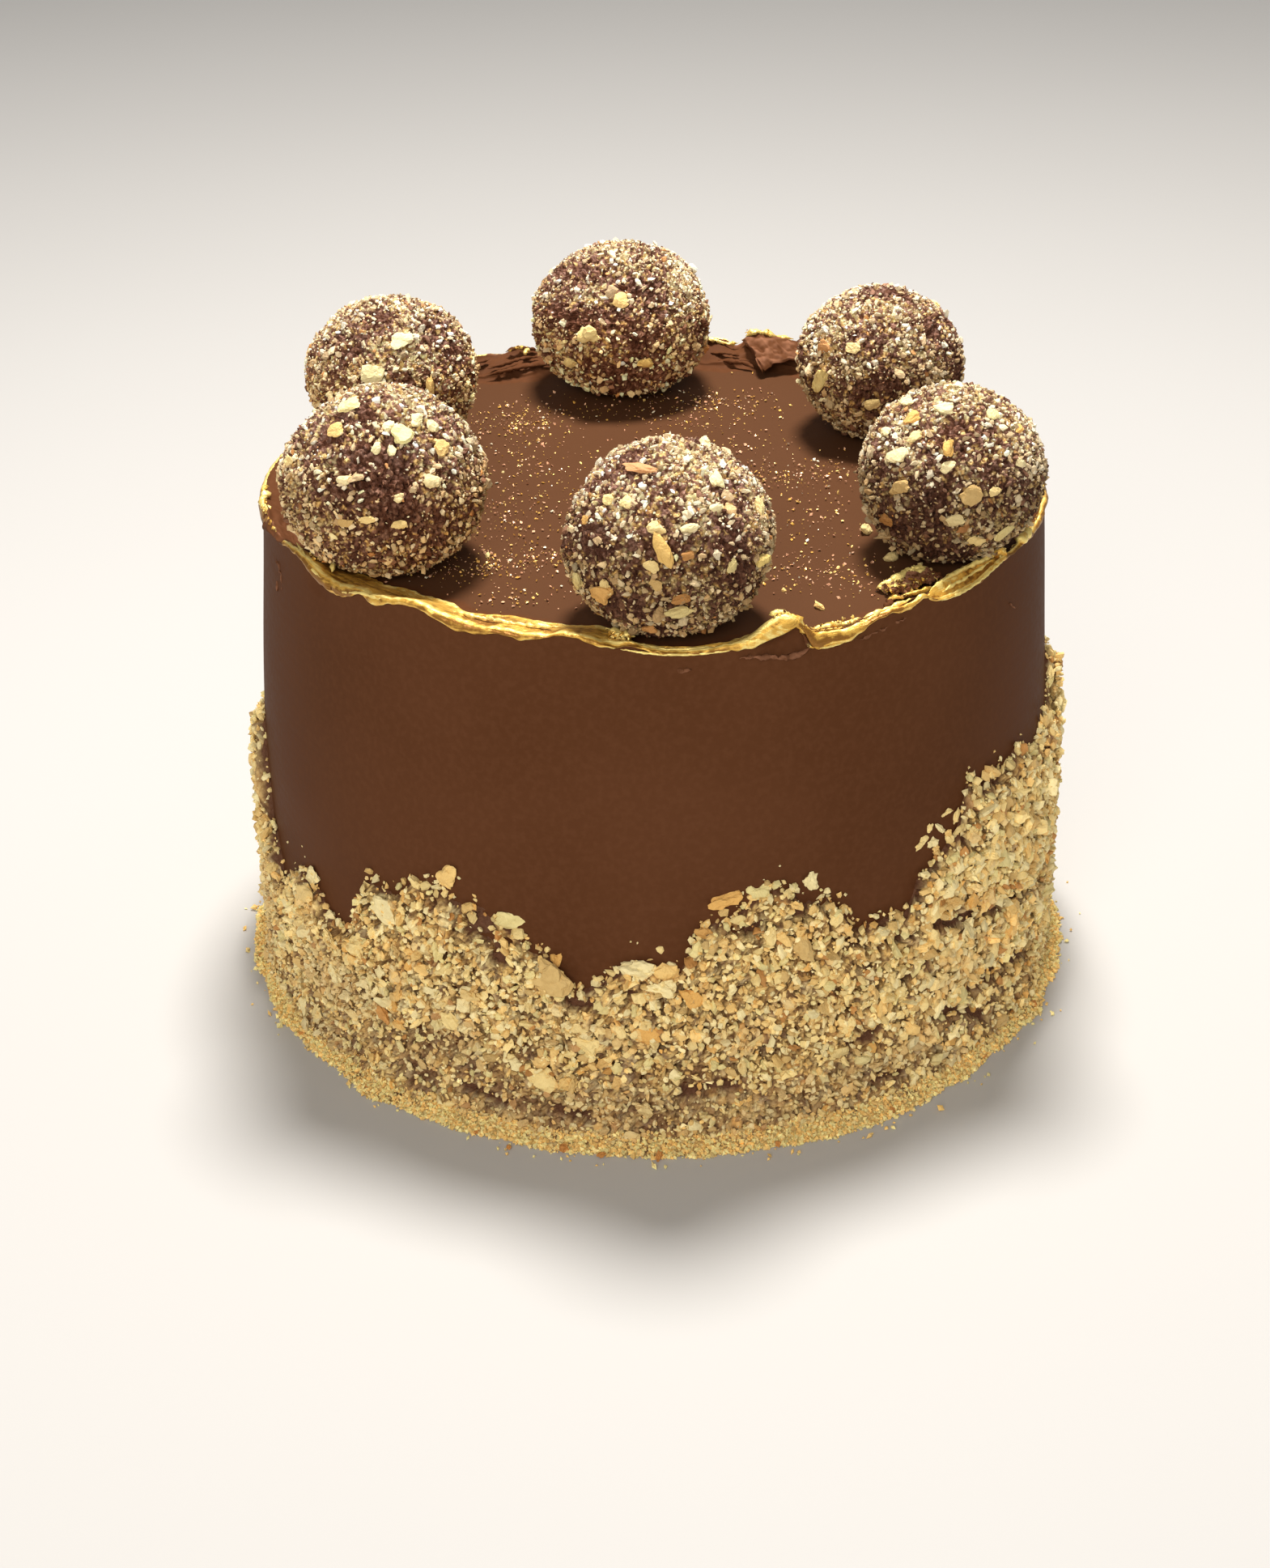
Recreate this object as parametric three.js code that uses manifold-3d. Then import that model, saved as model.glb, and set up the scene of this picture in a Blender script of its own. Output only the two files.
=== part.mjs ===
// A drum-shaped mocha cake, whole and uncut. A smooth coat of mocha cream ends at the top in a ragged
// lip that was brushed with gold. Chopped nuts are pressed into the lower side up to a wavy edge, and
// six nut-rolled truffles stand in a ring on the top.
// Millimetres, +Z up. The origin is the centre of the flat base, and the front of the cake faces -Y.
// Angles are in degrees, anticlockwise from +X as seen from above, so the front is at 270.
import * as THREE from "three";
import { mergeVertices } from "three/addons/utils/BufferGeometryUtils.js";
import Module from "manifold-3d";

const wasm = await Module();
wasm.setup();

// ---------------------------------------------------------------- driving dimensions
const TOP_Z = 102.5; // height of the flat top above the base
const BASE_RADIUS = 82.4; // outside of the cream on the lower side
const TOP_RADIUS = 79.2; // outside of the cream at the top edge
const TAPER_FROM = 53; // height from which the side leans in to the top edge
const SEGMENTS = 112; // steps round the cake
const BAND_ROWS = 11; // steps from the base up to the edge of the nuts

const NUT_DEPTH = 2.2; // mean depth of the pressed nuts
const NUT_BUMP = 1.1; // most that a bump stands above or below that
const NUT_LEDGE = 0.9; // height over which the nuts thin out at their upper edge
const FOOT_SPREAD = 1.3; // how much further the crumbs spread at the foot
const FOOT_FADE = 2; // height over which that spread fades
const CHUNKS = 132; // largest nut pieces on the side
const CHUNK_SIZE = [2.0, 3.9]; // half length of the smallest and the largest of them
const CHUNK_HALF_THICKNESS = 2.1; // most that one has
const CHUNK_JITTER = 6; // degrees by which they stray from an even spread
const EDGE_CHUNKS = 3; // one in this many lies near the upper edge instead

// Upper edge of the nuts: [angle, height above the base].
const NUT_EDGE = [
  [4, 60], [18, 45], [30, 40], [44, 50], [58, 54], [74, 41], [90, 35], [106, 45], [120, 52], [136, 42],
  [150, 36], [168, 46], [180, 55], [189, 57], [194, 37], [201, 29], [211, 36], [221, 32], [228, 46],
  [236, 52], [247, 48], [254, 43], [259, 34], [266, 39], [272, 39], [276, 48], [285, 54], [292, 50],
  [299, 41], [306, 40], [311, 53], [316, 60], [327, 62], [338, 57], [346, 58], [352, 68],
];

// The ragged lip of cream round the top: rise of its crest above the top, breadth from the outside in to
// its foot, hang of its outer edge below the top, and how far that edge stands out of the side.
const LIP = { rise: 1.4, breadth: 3.2, hang: 0.4, out: 0.35 };
const LIP_WANDER = 0.5; // how far those sizes wander round the cake, as a share of them

// What each fold, curl and torn flap adds to them at its middle angle, fading to nothing at its reach.
const LIP_FOLDS = [
  { at: 10, reach: 9, rise: 0.6, breadth: 1.5, hang: 0.4, out: 0.2 },
  { at: 50, reach: 10, rise: 1.0, breadth: 2.4, hang: 0.2, out: 0.3 },
  { at: 72, reach: 11, rise: 3.6, breadth: 6.5, hang: -1.0, out: 0.6 },
  { at: 112, reach: 8, rise: 2.2, breadth: 4.5, hang: -0.3, out: 0.3 },
  { at: 130, reach: 7, rise: 1.2, breadth: 1.8, hang: 0.0, out: 0.4 },
  { at: 176, reach: 8, rise: 0.8, breadth: 1.6, hang: 0.5, out: 0.3 },
  { at: 195, reach: 8, rise: 1.0, breadth: 1.5, hang: 0.3, out: 0.4 },
  { at: 215, reach: 10, rise: 0.8, breadth: 2.5, hang: 0.6, out: 0.7 },
  { at: 243, reach: 24, rise: 2.1, breadth: 5.6, hang: -2.0, out: 0.8 },
  { at: 286, reach: 6, rise: 3.2, breadth: 2.2, hang: -1.8, out: 0.8 },
  { at: 295, reach: 9, rise: 0.0, breadth: 0.6, hang: 1.4, out: 0.5 },
  { at: 311, reach: 8, rise: 2.3, breadth: 5.5, hang: 0.0, out: 0.1 },
  { at: 323, reach: 9, rise: 1.2, breadth: 2.8, hang: 0.0, out: 0.5 },
];

const REST_GAP = 0.3; // clearance between a truffle and the top it stands on
const TRUFFLE_FOOT = 0.95; // depth of its flat foot below its middle, as a share of its half height
const TRUFFLE_FULLNESS = 0.88; // that depth as a share of its lower half before the foot was flattened
const TRUFFLE_LUMP = 0.03; // unevenness of its ball, as a share of its radius
const TRUFFLE_GRAIN = 0.35; // roughness of its crumb coat
const TRUFFLE_CHUNKS = 12; // largest nut pieces on each
const TRUFFLE_CHUNK_SIZE = [1.2, 2.2]; // half length of the smallest and the largest of them

// Each truffle: name, angle, distance from the axis, half width, half height, and how pointed its crown is.
const TRUFFLES = [
  { name: "truffle_front", angle: 272.2, out: 64.3, width: 19.2, height: 17.6, point: 0.02 },
  { name: "truffle_right", angle: 329.2, out: 66.2, width: 17.7, height: 16.7, point: 0.0 },
  { name: "truffle_back_right", angle: 32.3, out: 57.0, width: 17.3, height: 15.7, point: 0.0 },
  { name: "truffle_back", angle: 96.1, out: 58.7, width: 19.5, height: 16.3, point: 0.0 },
  { name: "truffle_back_left", angle: 155.7, out: 59.5, width: 17.8, height: 16.2, point: 0.05 },
  { name: "truffle_left", angle: 215.0, out: 63.0, width: 19.5, height: 17.8, point: 0.1 },
];

const GOLDEN_TURN = 180 * (3 - Math.sqrt(5)); // degrees between pieces that are spread evenly in a spiral

const CREAM = new THREE.MeshStandardMaterial({ name: "mocha_cream", color: 0x5c3822, roughness: 0.5 });
const NUT_ROLLED = new THREE.MeshStandardMaterial({ name: "nut_rolled", color: 0x8c6b4d, roughness: 0.85 });

// ---------------------------------------------------------------- helpers
const radians = THREE.MathUtils.degToRad;

// Repeatable random numbers from 0 to 1.
function seeded(seed) {
  let state = seed >>> 0;
  return () => {
    state = (state + 0x6d2b79f5) >>> 0;
    let t = Math.imul(state ^ (state >>> 15), 1 | state);
    t = (t + Math.imul(t ^ (t >>> 7), 61 | t)) ^ t;
    return ((t ^ (t >>> 14)) >>> 0) / 4294967296;
  };
}

// Height of the upper edge of the nuts at an angle, eased between the rows of NUT_EDGE.
function nutEdge(angle) {
  const turn = ((angle % 360) + 360) % 360;
  const after = Math.max(NUT_EDGE.findIndex((row) => row[0] > turn), 0);
  const before = (after + NUT_EDGE.length - 1) % NUT_EDGE.length;
  const span = (NUT_EDGE[after][0] - NUT_EDGE[before][0] + 360) % 360;
  const share = ((turn - NUT_EDGE[before][0] + 360) % 360) / span;
  const eased = THREE.MathUtils.smoothstep(share, 0, 1);
  return THREE.MathUtils.lerp(NUT_EDGE[before][1], NUT_EDGE[after][1], eased);
}

// The sizes of the lip at an angle: its even run with its wander, and the folds that reach there.
function lipAt(angle) {
  const wave = (turns, start) => Math.sin(turns * radians(angle) + start);
  const wander = 0.5 * wave(5, 0.7) + 0.3 * wave(9, 2.1) + 0.2 * wave(17, 4);
  const lip = {};
  for (const size of Object.keys(LIP)) lip[size] = LIP[size] * (1 + LIP_WANDER * wander);
  for (const fold of LIP_FOLDS) {
    const off = Math.abs(((angle - fold.at + 540) % 360) - 180);
    const share = off < fold.reach ? Math.cos((Math.PI * off) / (2 * fold.reach)) ** 2 : 0;
    for (const size of Object.keys(LIP)) lip[size] += share * fold[size];
  }
  return lip;
}

// Outside radius of the bare cream at a height.
function creamRadius(z) {
  const lean = THREE.MathUtils.clamp((z - TAPER_FROM) / (TOP_Z - TAPER_FROM), 0, 1);
  return THREE.MathUtils.lerp(BASE_RADIUS, TOP_RADIUS, lean);
}

// A closed three.js geometry as a solid that can be joined.
function solidOf(geometry) {
  const bare = new THREE.BufferGeometry().setAttribute("position", geometry.getAttribute("position"));
  if (geometry.index) bare.setIndex(geometry.index);
  const merged = mergeVertices(bare, 1e-4);
  const corners = merged.index.array;
  const faces = [];
  for (let i = 0; i < corners.length; i += 3) {
    const [a, b, c] = [corners[i], corners[i + 1], corners[i + 2]];
    if (a !== b && b !== c && c !== a) faces.push(a, b, c);
  }
  return new wasm.Manifold(
    new wasm.Mesh({
      numProp: 3,
      vertProperties: merged.attributes.position.array,
      triVerts: new Uint32Array(faces),
    }),
  );
}

// The largest body of a solid as a geometry, without loose scraps.
function geometryOf(solid) {
  const bodies = solid.decompose();
  const largest = bodies.reduce((a, b) => (b.volume() > a.volume() ? b : a));
  const mesh = largest.getMesh();
  return new THREE.BufferGeometry()
    .setAttribute("position", new THREE.BufferAttribute(new Float32Array(mesh.vertProperties), 3))
    .setIndex(new THREE.BufferAttribute(new Uint32Array(mesh.triVerts), 1));
}

// Moves every corner of a geometry whose faces don't share corners, equal ones together.
function moveCorners(position, move) {
  const moved = new Map();
  for (let i = 0; i < position.count; i++) {
    const corner = new THREE.Vector3().fromBufferAttribute(position, i);
    const key = corner.toArray().map((n) => n.toFixed(3)).join();
    if (!moved.has(key)) moved.set(key, move(corner));
    position.setXYZ(i, ...moved.get(key));
  }
}

// One broken piece of nut: an uneven icosahedron with half sizes `size`, standing on `normal` at `place`.
function nutPiece(size, place, normal, random) {
  const geometry = new THREE.IcosahedronGeometry(1, 0);
  const broken = (corner) => corner.clone().multiplyScalar(0.8 + 0.35 * random()).multiply(size);
  moveCorners(geometry.getAttribute("position"), broken);
  geometry.rotateZ(2 * Math.PI * random());
  geometry.applyQuaternion(new THREE.Quaternion().setFromUnitVectors(new THREE.Vector3(0, 0, 1), normal));
  return solidOf(geometry.translate(place.x, place.y, place.z));
}

// ---------------------------------------------------------------- the cake
// The profile of the cake at an angle, from the centre of the base round to the centre of the top.
// `bump` gives a fresh random number from -1 to 1 for each point of the nut coat.
function cakeProfile(angle, bump) {
  const edge = nutEdge(angle);
  const { rise, breadth, hang, out } = lipAt(angle);
  const points = [new THREE.Vector2(0, 0)];
  for (let row = 0; row <= BAND_ROWS; row++) {
    const z = (row * edge) / BAND_ROWS;
    const foot = FOOT_SPREAD * Math.exp(-z / FOOT_FADE);
    points.push(new THREE.Vector2(creamRadius(z) + NUT_DEPTH + NUT_BUMP * bump() + foot, z));
  }
  const bare = edge + NUT_LEDGE;
  const lipEdge = TOP_Z - hang;
  const crest = TOP_Z + rise;
  for (const share of [0, 0.5, 0.97]) {
    const z = THREE.MathUtils.lerp(bare, lipEdge, share);
    points.push(new THREE.Vector2(creamRadius(z), z));
  }
  points.push(
    new THREE.Vector2(TOP_RADIUS + out, lipEdge),
    new THREE.Vector2(TOP_RADIUS + 0.6 * out, THREE.MathUtils.lerp(lipEdge, crest, 0.7)),
    new THREE.Vector2(TOP_RADIUS - 0.22 * breadth, crest),
    new THREE.Vector2(TOP_RADIUS - 0.6 * breadth, TOP_Z + 0.5 * rise),
    new THREE.Vector2(TOP_RADIUS - breadth, TOP_Z),
    new THREE.Vector2(TOP_RADIUS / 2, TOP_Z),
    new THREE.Vector2(0, TOP_Z),
  );
  return points;
}

// The drum of cream with its lip and the rough coat of nuts, as one lathe whose profile changes round it.
function drum() {
  const random = seeded(11);
  const bump = () => 2 * random() - 1;
  const profiles = [];
  for (let step = 0; step < SEGMENTS; step++) profiles.push(cakeProfile((360 * step) / SEGMENTS, bump));
  profiles.push(profiles[0]);
  const geometry = new THREE.LatheGeometry(profiles[0], SEGMENTS);
  const position = geometry.getAttribute("position");
  profiles.forEach((profile, step) => {
    const turn = radians((360 * step) / SEGMENTS);
    profile.forEach(({ x, y }, row) => {
      position.setXYZ(step * profile.length + row, x * Math.cos(turn), x * Math.sin(turn), y);
    });
  });
  return solidOf(geometry);
}

// The largest nut pieces, spread evenly over the nut coat, with some more along its upper edge.
function sideChunks() {
  const random = seeded(23);
  const pieces = [];
  for (let i = 0; i < CHUNKS; i++) {
    const angle = i * GOLDEN_TURN + CHUNK_JITTER * random();
    const share = i % EDGE_CHUNKS === 0 ? 0.86 + 0.12 * random() : (i + random()) / CHUNKS;
    const size = THREE.MathUtils.lerp(...CHUNK_SIZE, random() ** 2);
    const z = Math.max(share * nutEdge(angle), 1.1 * size);
    const normal = new THREE.Vector3(Math.cos(radians(angle)), Math.sin(radians(angle)), 0);
    const place = normal.clone().multiplyScalar(creamRadius(z) + 0.75 * NUT_DEPTH).setZ(z);
    const thickness = Math.min(0.7 * size, CHUNK_HALF_THICKNESS);
    const form = new THREE.Vector3(size, size * (0.6 + 0.3 * random()), thickness);
    pieces.push(nutPiece(form, place, normal, random));
  }
  return pieces;
}

// ---------------------------------------------------------------- the truffles
// Where a direction from the middle of a truffle meets its plain form, before lumps and the flat foot.
function truffleForm({ width, height, point }, direction) {
  const crown = 1 - point * Math.max(direction.z, 0);
  const depth = direction.z < 0 ? (height * TRUFFLE_FOOT) / TRUFFLE_FULLNESS : height;
  return direction.clone().multiply(new THREE.Vector3(width * crown, width * crown, depth));
}

// A flattened, slightly lumpy ball with a flat foot, about its own middle.
function truffleBall(spec, random) {
  const geometry = new THREE.IcosahedronGeometry(1, 3);
  const position = geometry.getAttribute("position");
  const waves = Array.from({ length: 5 }, () => ({
    along: new THREE.Vector3(random() - 0.5, random() - 0.5, random() - 0.5).setLength(1.5 + 2.5 * random()),
    phase: 2 * Math.PI * random(),
  }));
  const lumpy = (corner) => {
    const lump = waves.reduce((sum, wave) => sum + Math.sin(wave.along.dot(corner) + wave.phase), 0) / 2;
    const grain = (TRUFFLE_GRAIN * (2 * random() - 1)) / spec.width;
    const place = truffleForm(spec, corner).multiplyScalar(1 + TRUFFLE_LUMP * lump + grain);
    return place.setZ(Math.max(place.z, -TRUFFLE_FOOT * spec.height));
  };
  moveCorners(position, lumpy);
  return geometry;
}

// A truffle with its largest nut pieces fused on, standing on the top of the cake.
function truffle(spec, index) {
  const random = seeded(101 + index);
  let solid = solidOf(truffleBall(spec, random));
  for (let i = 0; i < TRUFFLE_CHUNKS; i++) {
    const up = 0.95 - (1.5 * (i + random())) / TRUFFLE_CHUNKS;
    const turn = radians(i * GOLDEN_TURN) + random();
    const flat = Math.sqrt(1 - up * up);
    const normal = new THREE.Vector3(flat * Math.cos(turn), flat * Math.sin(turn), up);
    const size = THREE.MathUtils.lerp(...TRUFFLE_CHUNK_SIZE, random() ** 2);
    const form = new THREE.Vector3(size, 0.7 * size, 0.6 * size);
    solid = solid.add(nutPiece(form, truffleForm(spec, normal), normal, random));
  }
  const mesh = new THREE.Mesh(geometryOf(solid), NUT_ROLLED);
  mesh.name = spec.name;
  mesh.position.set(
    spec.out * Math.cos(radians(spec.angle)),
    spec.out * Math.sin(radians(spec.angle)),
    TOP_Z + REST_GAP + TRUFFLE_FOOT * spec.height,
  );
  return mesh;
}

// ---------------------------------------------------------------- assembly
const mochaCake = new THREE.Group();
mochaCake.name = "mocha_cake";

const body = sideChunks().reduce((joined, piece) => joined.add(piece), drum());
const cake = new THREE.Mesh(geometryOf(body), CREAM);
cake.name = "cake";
mochaCake.add(cake);
TRUFFLES.forEach((spec, index) => mochaCake.add(truffle(spec, index)));

export default mochaCake;
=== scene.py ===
# The finish of a whole mocha cake: smooth mocha cream with a ragged lip brushed with gold, chopped nuts
# pressed up the lower side, gold dust on the flat top, and six nut-rolled truffles.
# Lengths are in millimetres up to the point where a mesh is made. Angles are in degrees, anticlockwise from
# +X as seen from above, so the front of the cake is at 270.
import itertools
import math

import bpy
import numpy as np
from mathutils import Matrix, Vector


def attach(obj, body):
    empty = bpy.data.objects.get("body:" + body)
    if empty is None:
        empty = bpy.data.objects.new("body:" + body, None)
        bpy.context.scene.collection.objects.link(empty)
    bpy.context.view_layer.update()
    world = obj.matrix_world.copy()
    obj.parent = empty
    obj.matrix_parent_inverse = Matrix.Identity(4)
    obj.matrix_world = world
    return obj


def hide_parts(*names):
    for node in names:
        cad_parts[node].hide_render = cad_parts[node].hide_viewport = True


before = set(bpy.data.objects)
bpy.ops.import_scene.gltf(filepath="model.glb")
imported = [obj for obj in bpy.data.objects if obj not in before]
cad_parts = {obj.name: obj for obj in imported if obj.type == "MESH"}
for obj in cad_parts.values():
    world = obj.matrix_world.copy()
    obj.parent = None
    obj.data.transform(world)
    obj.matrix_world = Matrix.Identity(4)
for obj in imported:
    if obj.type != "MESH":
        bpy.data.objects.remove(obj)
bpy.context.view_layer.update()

MM = 0.001

# ---------------------------------------------------------------- driving dimensions
TOP_Z = 102.5  # height of the flat top
BASE_RADIUS = 82.4  # outside of the cream on the lower side
TOP_RADIUS = 79.2  # outside of the cream at the top edge
TAPER_FROM = 53.0  # height from which the side leans in

NUT_DEPTH = 2.2  # mean depth of the pressed nuts
NUT_CEILING = 80  # height over which there are none
FOOT_SPREAD = 1.9  # how much further they spread at the foot
FOOT_FADE = 2.0  # height over which that spread fades
FOOT_RING = 2.3  # height of the toasted crumbs at the foot
FLOOR_GAP = 0.02  # least height of a crumb's corners over the floor

# Upper edge of the nuts: (angle, height above the base).
NUT_EDGE = (
    (4, 60), (18, 45), (30, 40), (44, 50), (58, 54), (74, 41), (90, 35), (106, 45), (120, 52), (136, 42),
    (150, 36), (168, 46), (180, 55), (189, 57), (194, 37), (201, 29), (211, 36), (221, 32), (228, 46), (236, 52),
    (247, 48), (254, 43), (259, 34), (266, 39), (272, 39), (276, 48), (285, 54), (292, 50), (299, 41),
    (305.4, 40), (307.6, 48), (314.4, 54), (317.2, 62), (327, 63), (338, 57), (346, 58), (352, 68),
)

# Seams where the nuts lie thin: paths of (angle, height), and how far to either side they reach.
SEAMS = (
    (((309.5, 36.9), (317, 33.5), (325.5, 31), (335, 28)), 1.5), (((304.8, 27.6), (308.6, 28.3)), 1.2),
    (((316, 17), (320.5, 16.6), (326.5, 15.7), (332.5, 13.6), (338, 14)), 1.8),
    (((336.2, 40.3), (337, 46.3)), 1.3), (((311, 15.6), (316.4, 12.4), (321.7, 7)), 1.3),
    (((334, 18.8), (337.6, 22.5), (339.5, 28.6)), 1.7), (((296.6, 16.1), (300.4, 17.4)), 1.2),
    (((300.4, 5.6), (305, 4.6)), 0.9), (((242.5, 6.8), (248.5, 4.8)), 1.0), (((255.4, 6.2), (260, 4.4)), 1.1),
    (((272.4, 10.2), (276.5, 11.6), (279.8, 11.9)), 1.1), (((18, 30), (34, 25), (47, 24)), 1.0),
    (((84, 18), (96, 22), (104, 21)), 1.1), (((150, 24), (163, 20)), 1.0), (((196, 18), (206, 13)), 0.9),
    (((118, 36), (127, 30)), 0.9), (((66, 12), (74, 9)), 1.0),
)

# Spots below the edge where the cream shows between scattered bits: (angle, height, reach).
BARE_SPOTS = (
    (245.8, 44.4, 4.2), (242.8, 49.0, 3.0), (248.6, 39.2, 2.6), (262.4, 30.0, 1.8), (300.5, 37.6, 2.2),
    (224.0, 33.0, 2.0), (64.0, 44.0, 3.4), (124.0, 44.0, 3.6), (172.0, 42.0, 2.8), (345.0, 52.0, 3.0),
)

# The lip round the top, where the scraped cream stands up as a soft wall: (angle, height of its outer lower
# edge above the top, height of its crest, radius of its inner edge, height of its inner edge).
LIP = (
    (0, -0.3, 1.2, 76.6, 0.5), (10, 0.2, 1.9, 74.6, 0.7), (22, -0.7, 1.3, 76.0, 0.5), (34, 0.3, 1.7, 76.2, 0.5),
    (42, -0.6, 1.4, 75.6, 0.5), (52, 0.3, 2.4, 74.0, 0.9), (60, 0.2, 2.9, 73.0, 1.0), (65.5, 0.8, 5.4, 74.5, 0.9),
    (69, 1.0, 4.9, 75.0, 0.9), (72.3, 1.4, 5.8, 74.5, 1.0), (75.3, 1.0, 2.9, 72.0, 1.2),
    (78, 0.8, 4.0, 71.5, 1.2), (82, 0.3, 3.4, 73.0, 0.9), (88, -0.4, 1.8, 75.6, 0.5), (97, 0.2, 1.4, 76.2, 0.5),
    (104, 0.4, 2.2, 75.0, 0.6), (109, 0.6, 2.9, 72.0, 1.1), (112.4, 0.8, 4.2, 70.0, 1.5),
    (116, 0.4, 3.0, 71.5, 1.3), (119, 0.4, 3.9, 72.5, 1.0), (123, 0.0, 2.2, 75.6, 0.5),
    (130, -0.6, 2.4, 74.5, 0.8), (140, 0.2, 1.4, 76.0, 0.5), (152, -0.5, 1.6, 76.2, 0.5),
    (166, -0.2, 1.4, 76.0, 0.5), (176, -0.7, 2.2, 74.8, 0.8), (184, -0.3, 2.6, 75.0, 0.9),
    (191, 0.2, 3.2, 75.2, 0.8), (197, 0.8, 3.0, 75.4, 0.7), (203, 2.0, 3.1, 75.6, 0.6),
    (208, 3.2, 3.9, 74.2, 0.8), (212, 2.8, 3.8, 72.2, 1.0), (214.5, 1.9, 3.4, 71.8, 1.0),
    (217, 0.9, 2.9, 71.6, 1.0), (219, 0.5, 2.5, 71.4, 1.0), (221.5, 0.6, 2.6, 71.0, 1.0),
    (224, 1.4, 3.2, 70.8, 1.0), (226.3, 3.0, 3.7, 70.2, 1.1), (227.6, 2.1, 3.4, 69.8, 1.1),
    (229.5, 2.0, 3.8, 69.6, 1.1), (232, 3.2, 4.3, 69.4, 1.1), (234.5, 4.0, 5.1, 69.2, 1.1),
    (237, 3.9, 4.9, 69.6, 1.1), (239.5, 2.8, 4.0, 71.0, 1.1), (242.5, 1.6, 3.7, 71.0, 1.2),
    (245, 1.6, 3.2, 70.1, 1.2), (248.5, 2.3, 3.2, 69.6, 1.3), (252, 1.6, 3.0, 69.9, 1.3),
    (255, 2.5, 3.1, 69.9, 1.3), (258.7, 3.4, 3.8, 70.0, 1.3), (261, 2.4, 3.4, 69.5, 1.3),
    (263, 1.3, 2.7, 70.5, 1.1), (265.3, 1.5, 2.4, 73.0, 0.9), (266.5, 1.9, 2.5, 74.6, 0.8),
    (268.5, 1.0, 1.7, 76.0, 0.9), (271, 0.3, 1.0, 77.4, 0.9), (276, 0.2, 1.0, 77.4, 0.9),
    (279, 0.5, 1.6, 76.8, 1.0), (282.3, 0.8, 2.9, 75.4, 1.2), (284.3, 1.7, 5.0, 74.8, 1.4),
    (286, 2.5, 6.0, 74.8, 1.6), (288, 3.7, 5.6, 75.0, 1.6), (289.2, 3.0, 4.2, 75.6, 1.3),
    (290, 1.0, 3.3, 76.0, 1.1), (290.8, -0.8, 2.2, 76.2, 1.0), (293, -1.1, 1.6, 76.8, 0.8),
    (296, -0.9, 1.4, 77.2, 0.8), (297.6, -0.2, 1.7, 77.0, 0.8), (299.3, 1.2, 2.2, 76.6, 0.9),
    (302, 2.0, 2.8, 76.2, 0.9), (305.8, 1.7, 2.7, 76.4, 0.9), (308.7, 2.6, 3.3, 76.6, 1.1),
    (310.4, 1.5, 2.2, 76.8, 2.0), (312.5, 0.8, 1.5, 76.6, 2.6), (316, 0.7, 1.3, 75.6, 3.0),
    (320, 1.0, 1.6, 75.4, 2.9), (323, 1.8, 2.5, 76.2, 2.7), (326, 2.3, 3.0, 76.9, 2.2),
    (329, 2.0, 2.6, 77.4, 1.4), (333, 2.0, 2.7, 77.2, 1.0), (338, 1.4, 2.4, 77.0, 0.9),
    (343, 1.3, 2.3, 76.8, 0.8), (348, 1.8, 2.9, 76.4, 0.8), (354, 0.2, 1.8, 76.4, 0.6),
)
# How the gold lies round the lip: (angle, share of the lip that is gilt, how much brighter it is). Where the
# share is 0 there is only a thin crest of it.
GILDING = (
    (0, 0.15, -0.1), (60, 0.0, 0.1), (100, 0.0, 0.0), (170, 0.0, 0.0), (180, 0.1, 0.0), (184, 0.35, 0.0),
    (190, 0.35, -0.1), (192.5, 0.0, -0.1), (195, -0.8, -0.2), (204.6, -1.0, -0.3), (206.4, 0.9, 0.0),
    (212, 1.0, 0.0), (216, 1.0, -0.2), (220, 1.0, -0.15), (224, 1.0, 0.05), (230, 1.0, 0.15), (238, 1.0, 0.1),
    (246, 1.0, -0.15), (252, 1.0, -0.08), (259, 1.0, -0.05), (263, 1.0, 0.25), (266, 0.9, 0.0), (272, 0.8, -0.05),
    (279, 0.9, 0.15), (284, 1.0, 0.55), (288, 1.0, 0.45), (289.5, 0.45, -0.3), (291, 0.8, -0.1), (296, 1.0, 0.15),
    (300, 0.9, 0.0), (304, 1.0, -0.1), (308, 1.0, 0.15), (311, 0.8, -0.1), (313, 1.0, 0.25), (322, 1.0, 0.25),
    (326, 1.0, 0.3), (328, 0.5, -0.1), (331, 0.6, -0.15), (334, 1.0, 0.1), (337, 0.8, -0.1), (345, 0.55, -0.2),
    (352, 0.4, -0.2),
)
# Hollows under the lip, grooves between its crest and its inner edge, and its crumpled stretches: (angle,
# reach, depth or strength).
CUPS = ((287.0, 5.0, 2.1), (216.0, 4.5, 0.5), (243.5, 4.0, 0.4))
GROOVES = ((273, 10, 1.1), (316, 9, 0.7), (296, 5, 0.7), (340, 12, 0.4), (233, 9, 0.6))
RUFFLES = (
    (72, 13, 1.0), (114, 10, 0.8), (10, 12, 0.4), (130, 12, 0.4), (196, 9, 0.6), (308, 8, 0.7), (264.5, 4, 0.8),
    (52, 9, 0.5),
)

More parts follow.
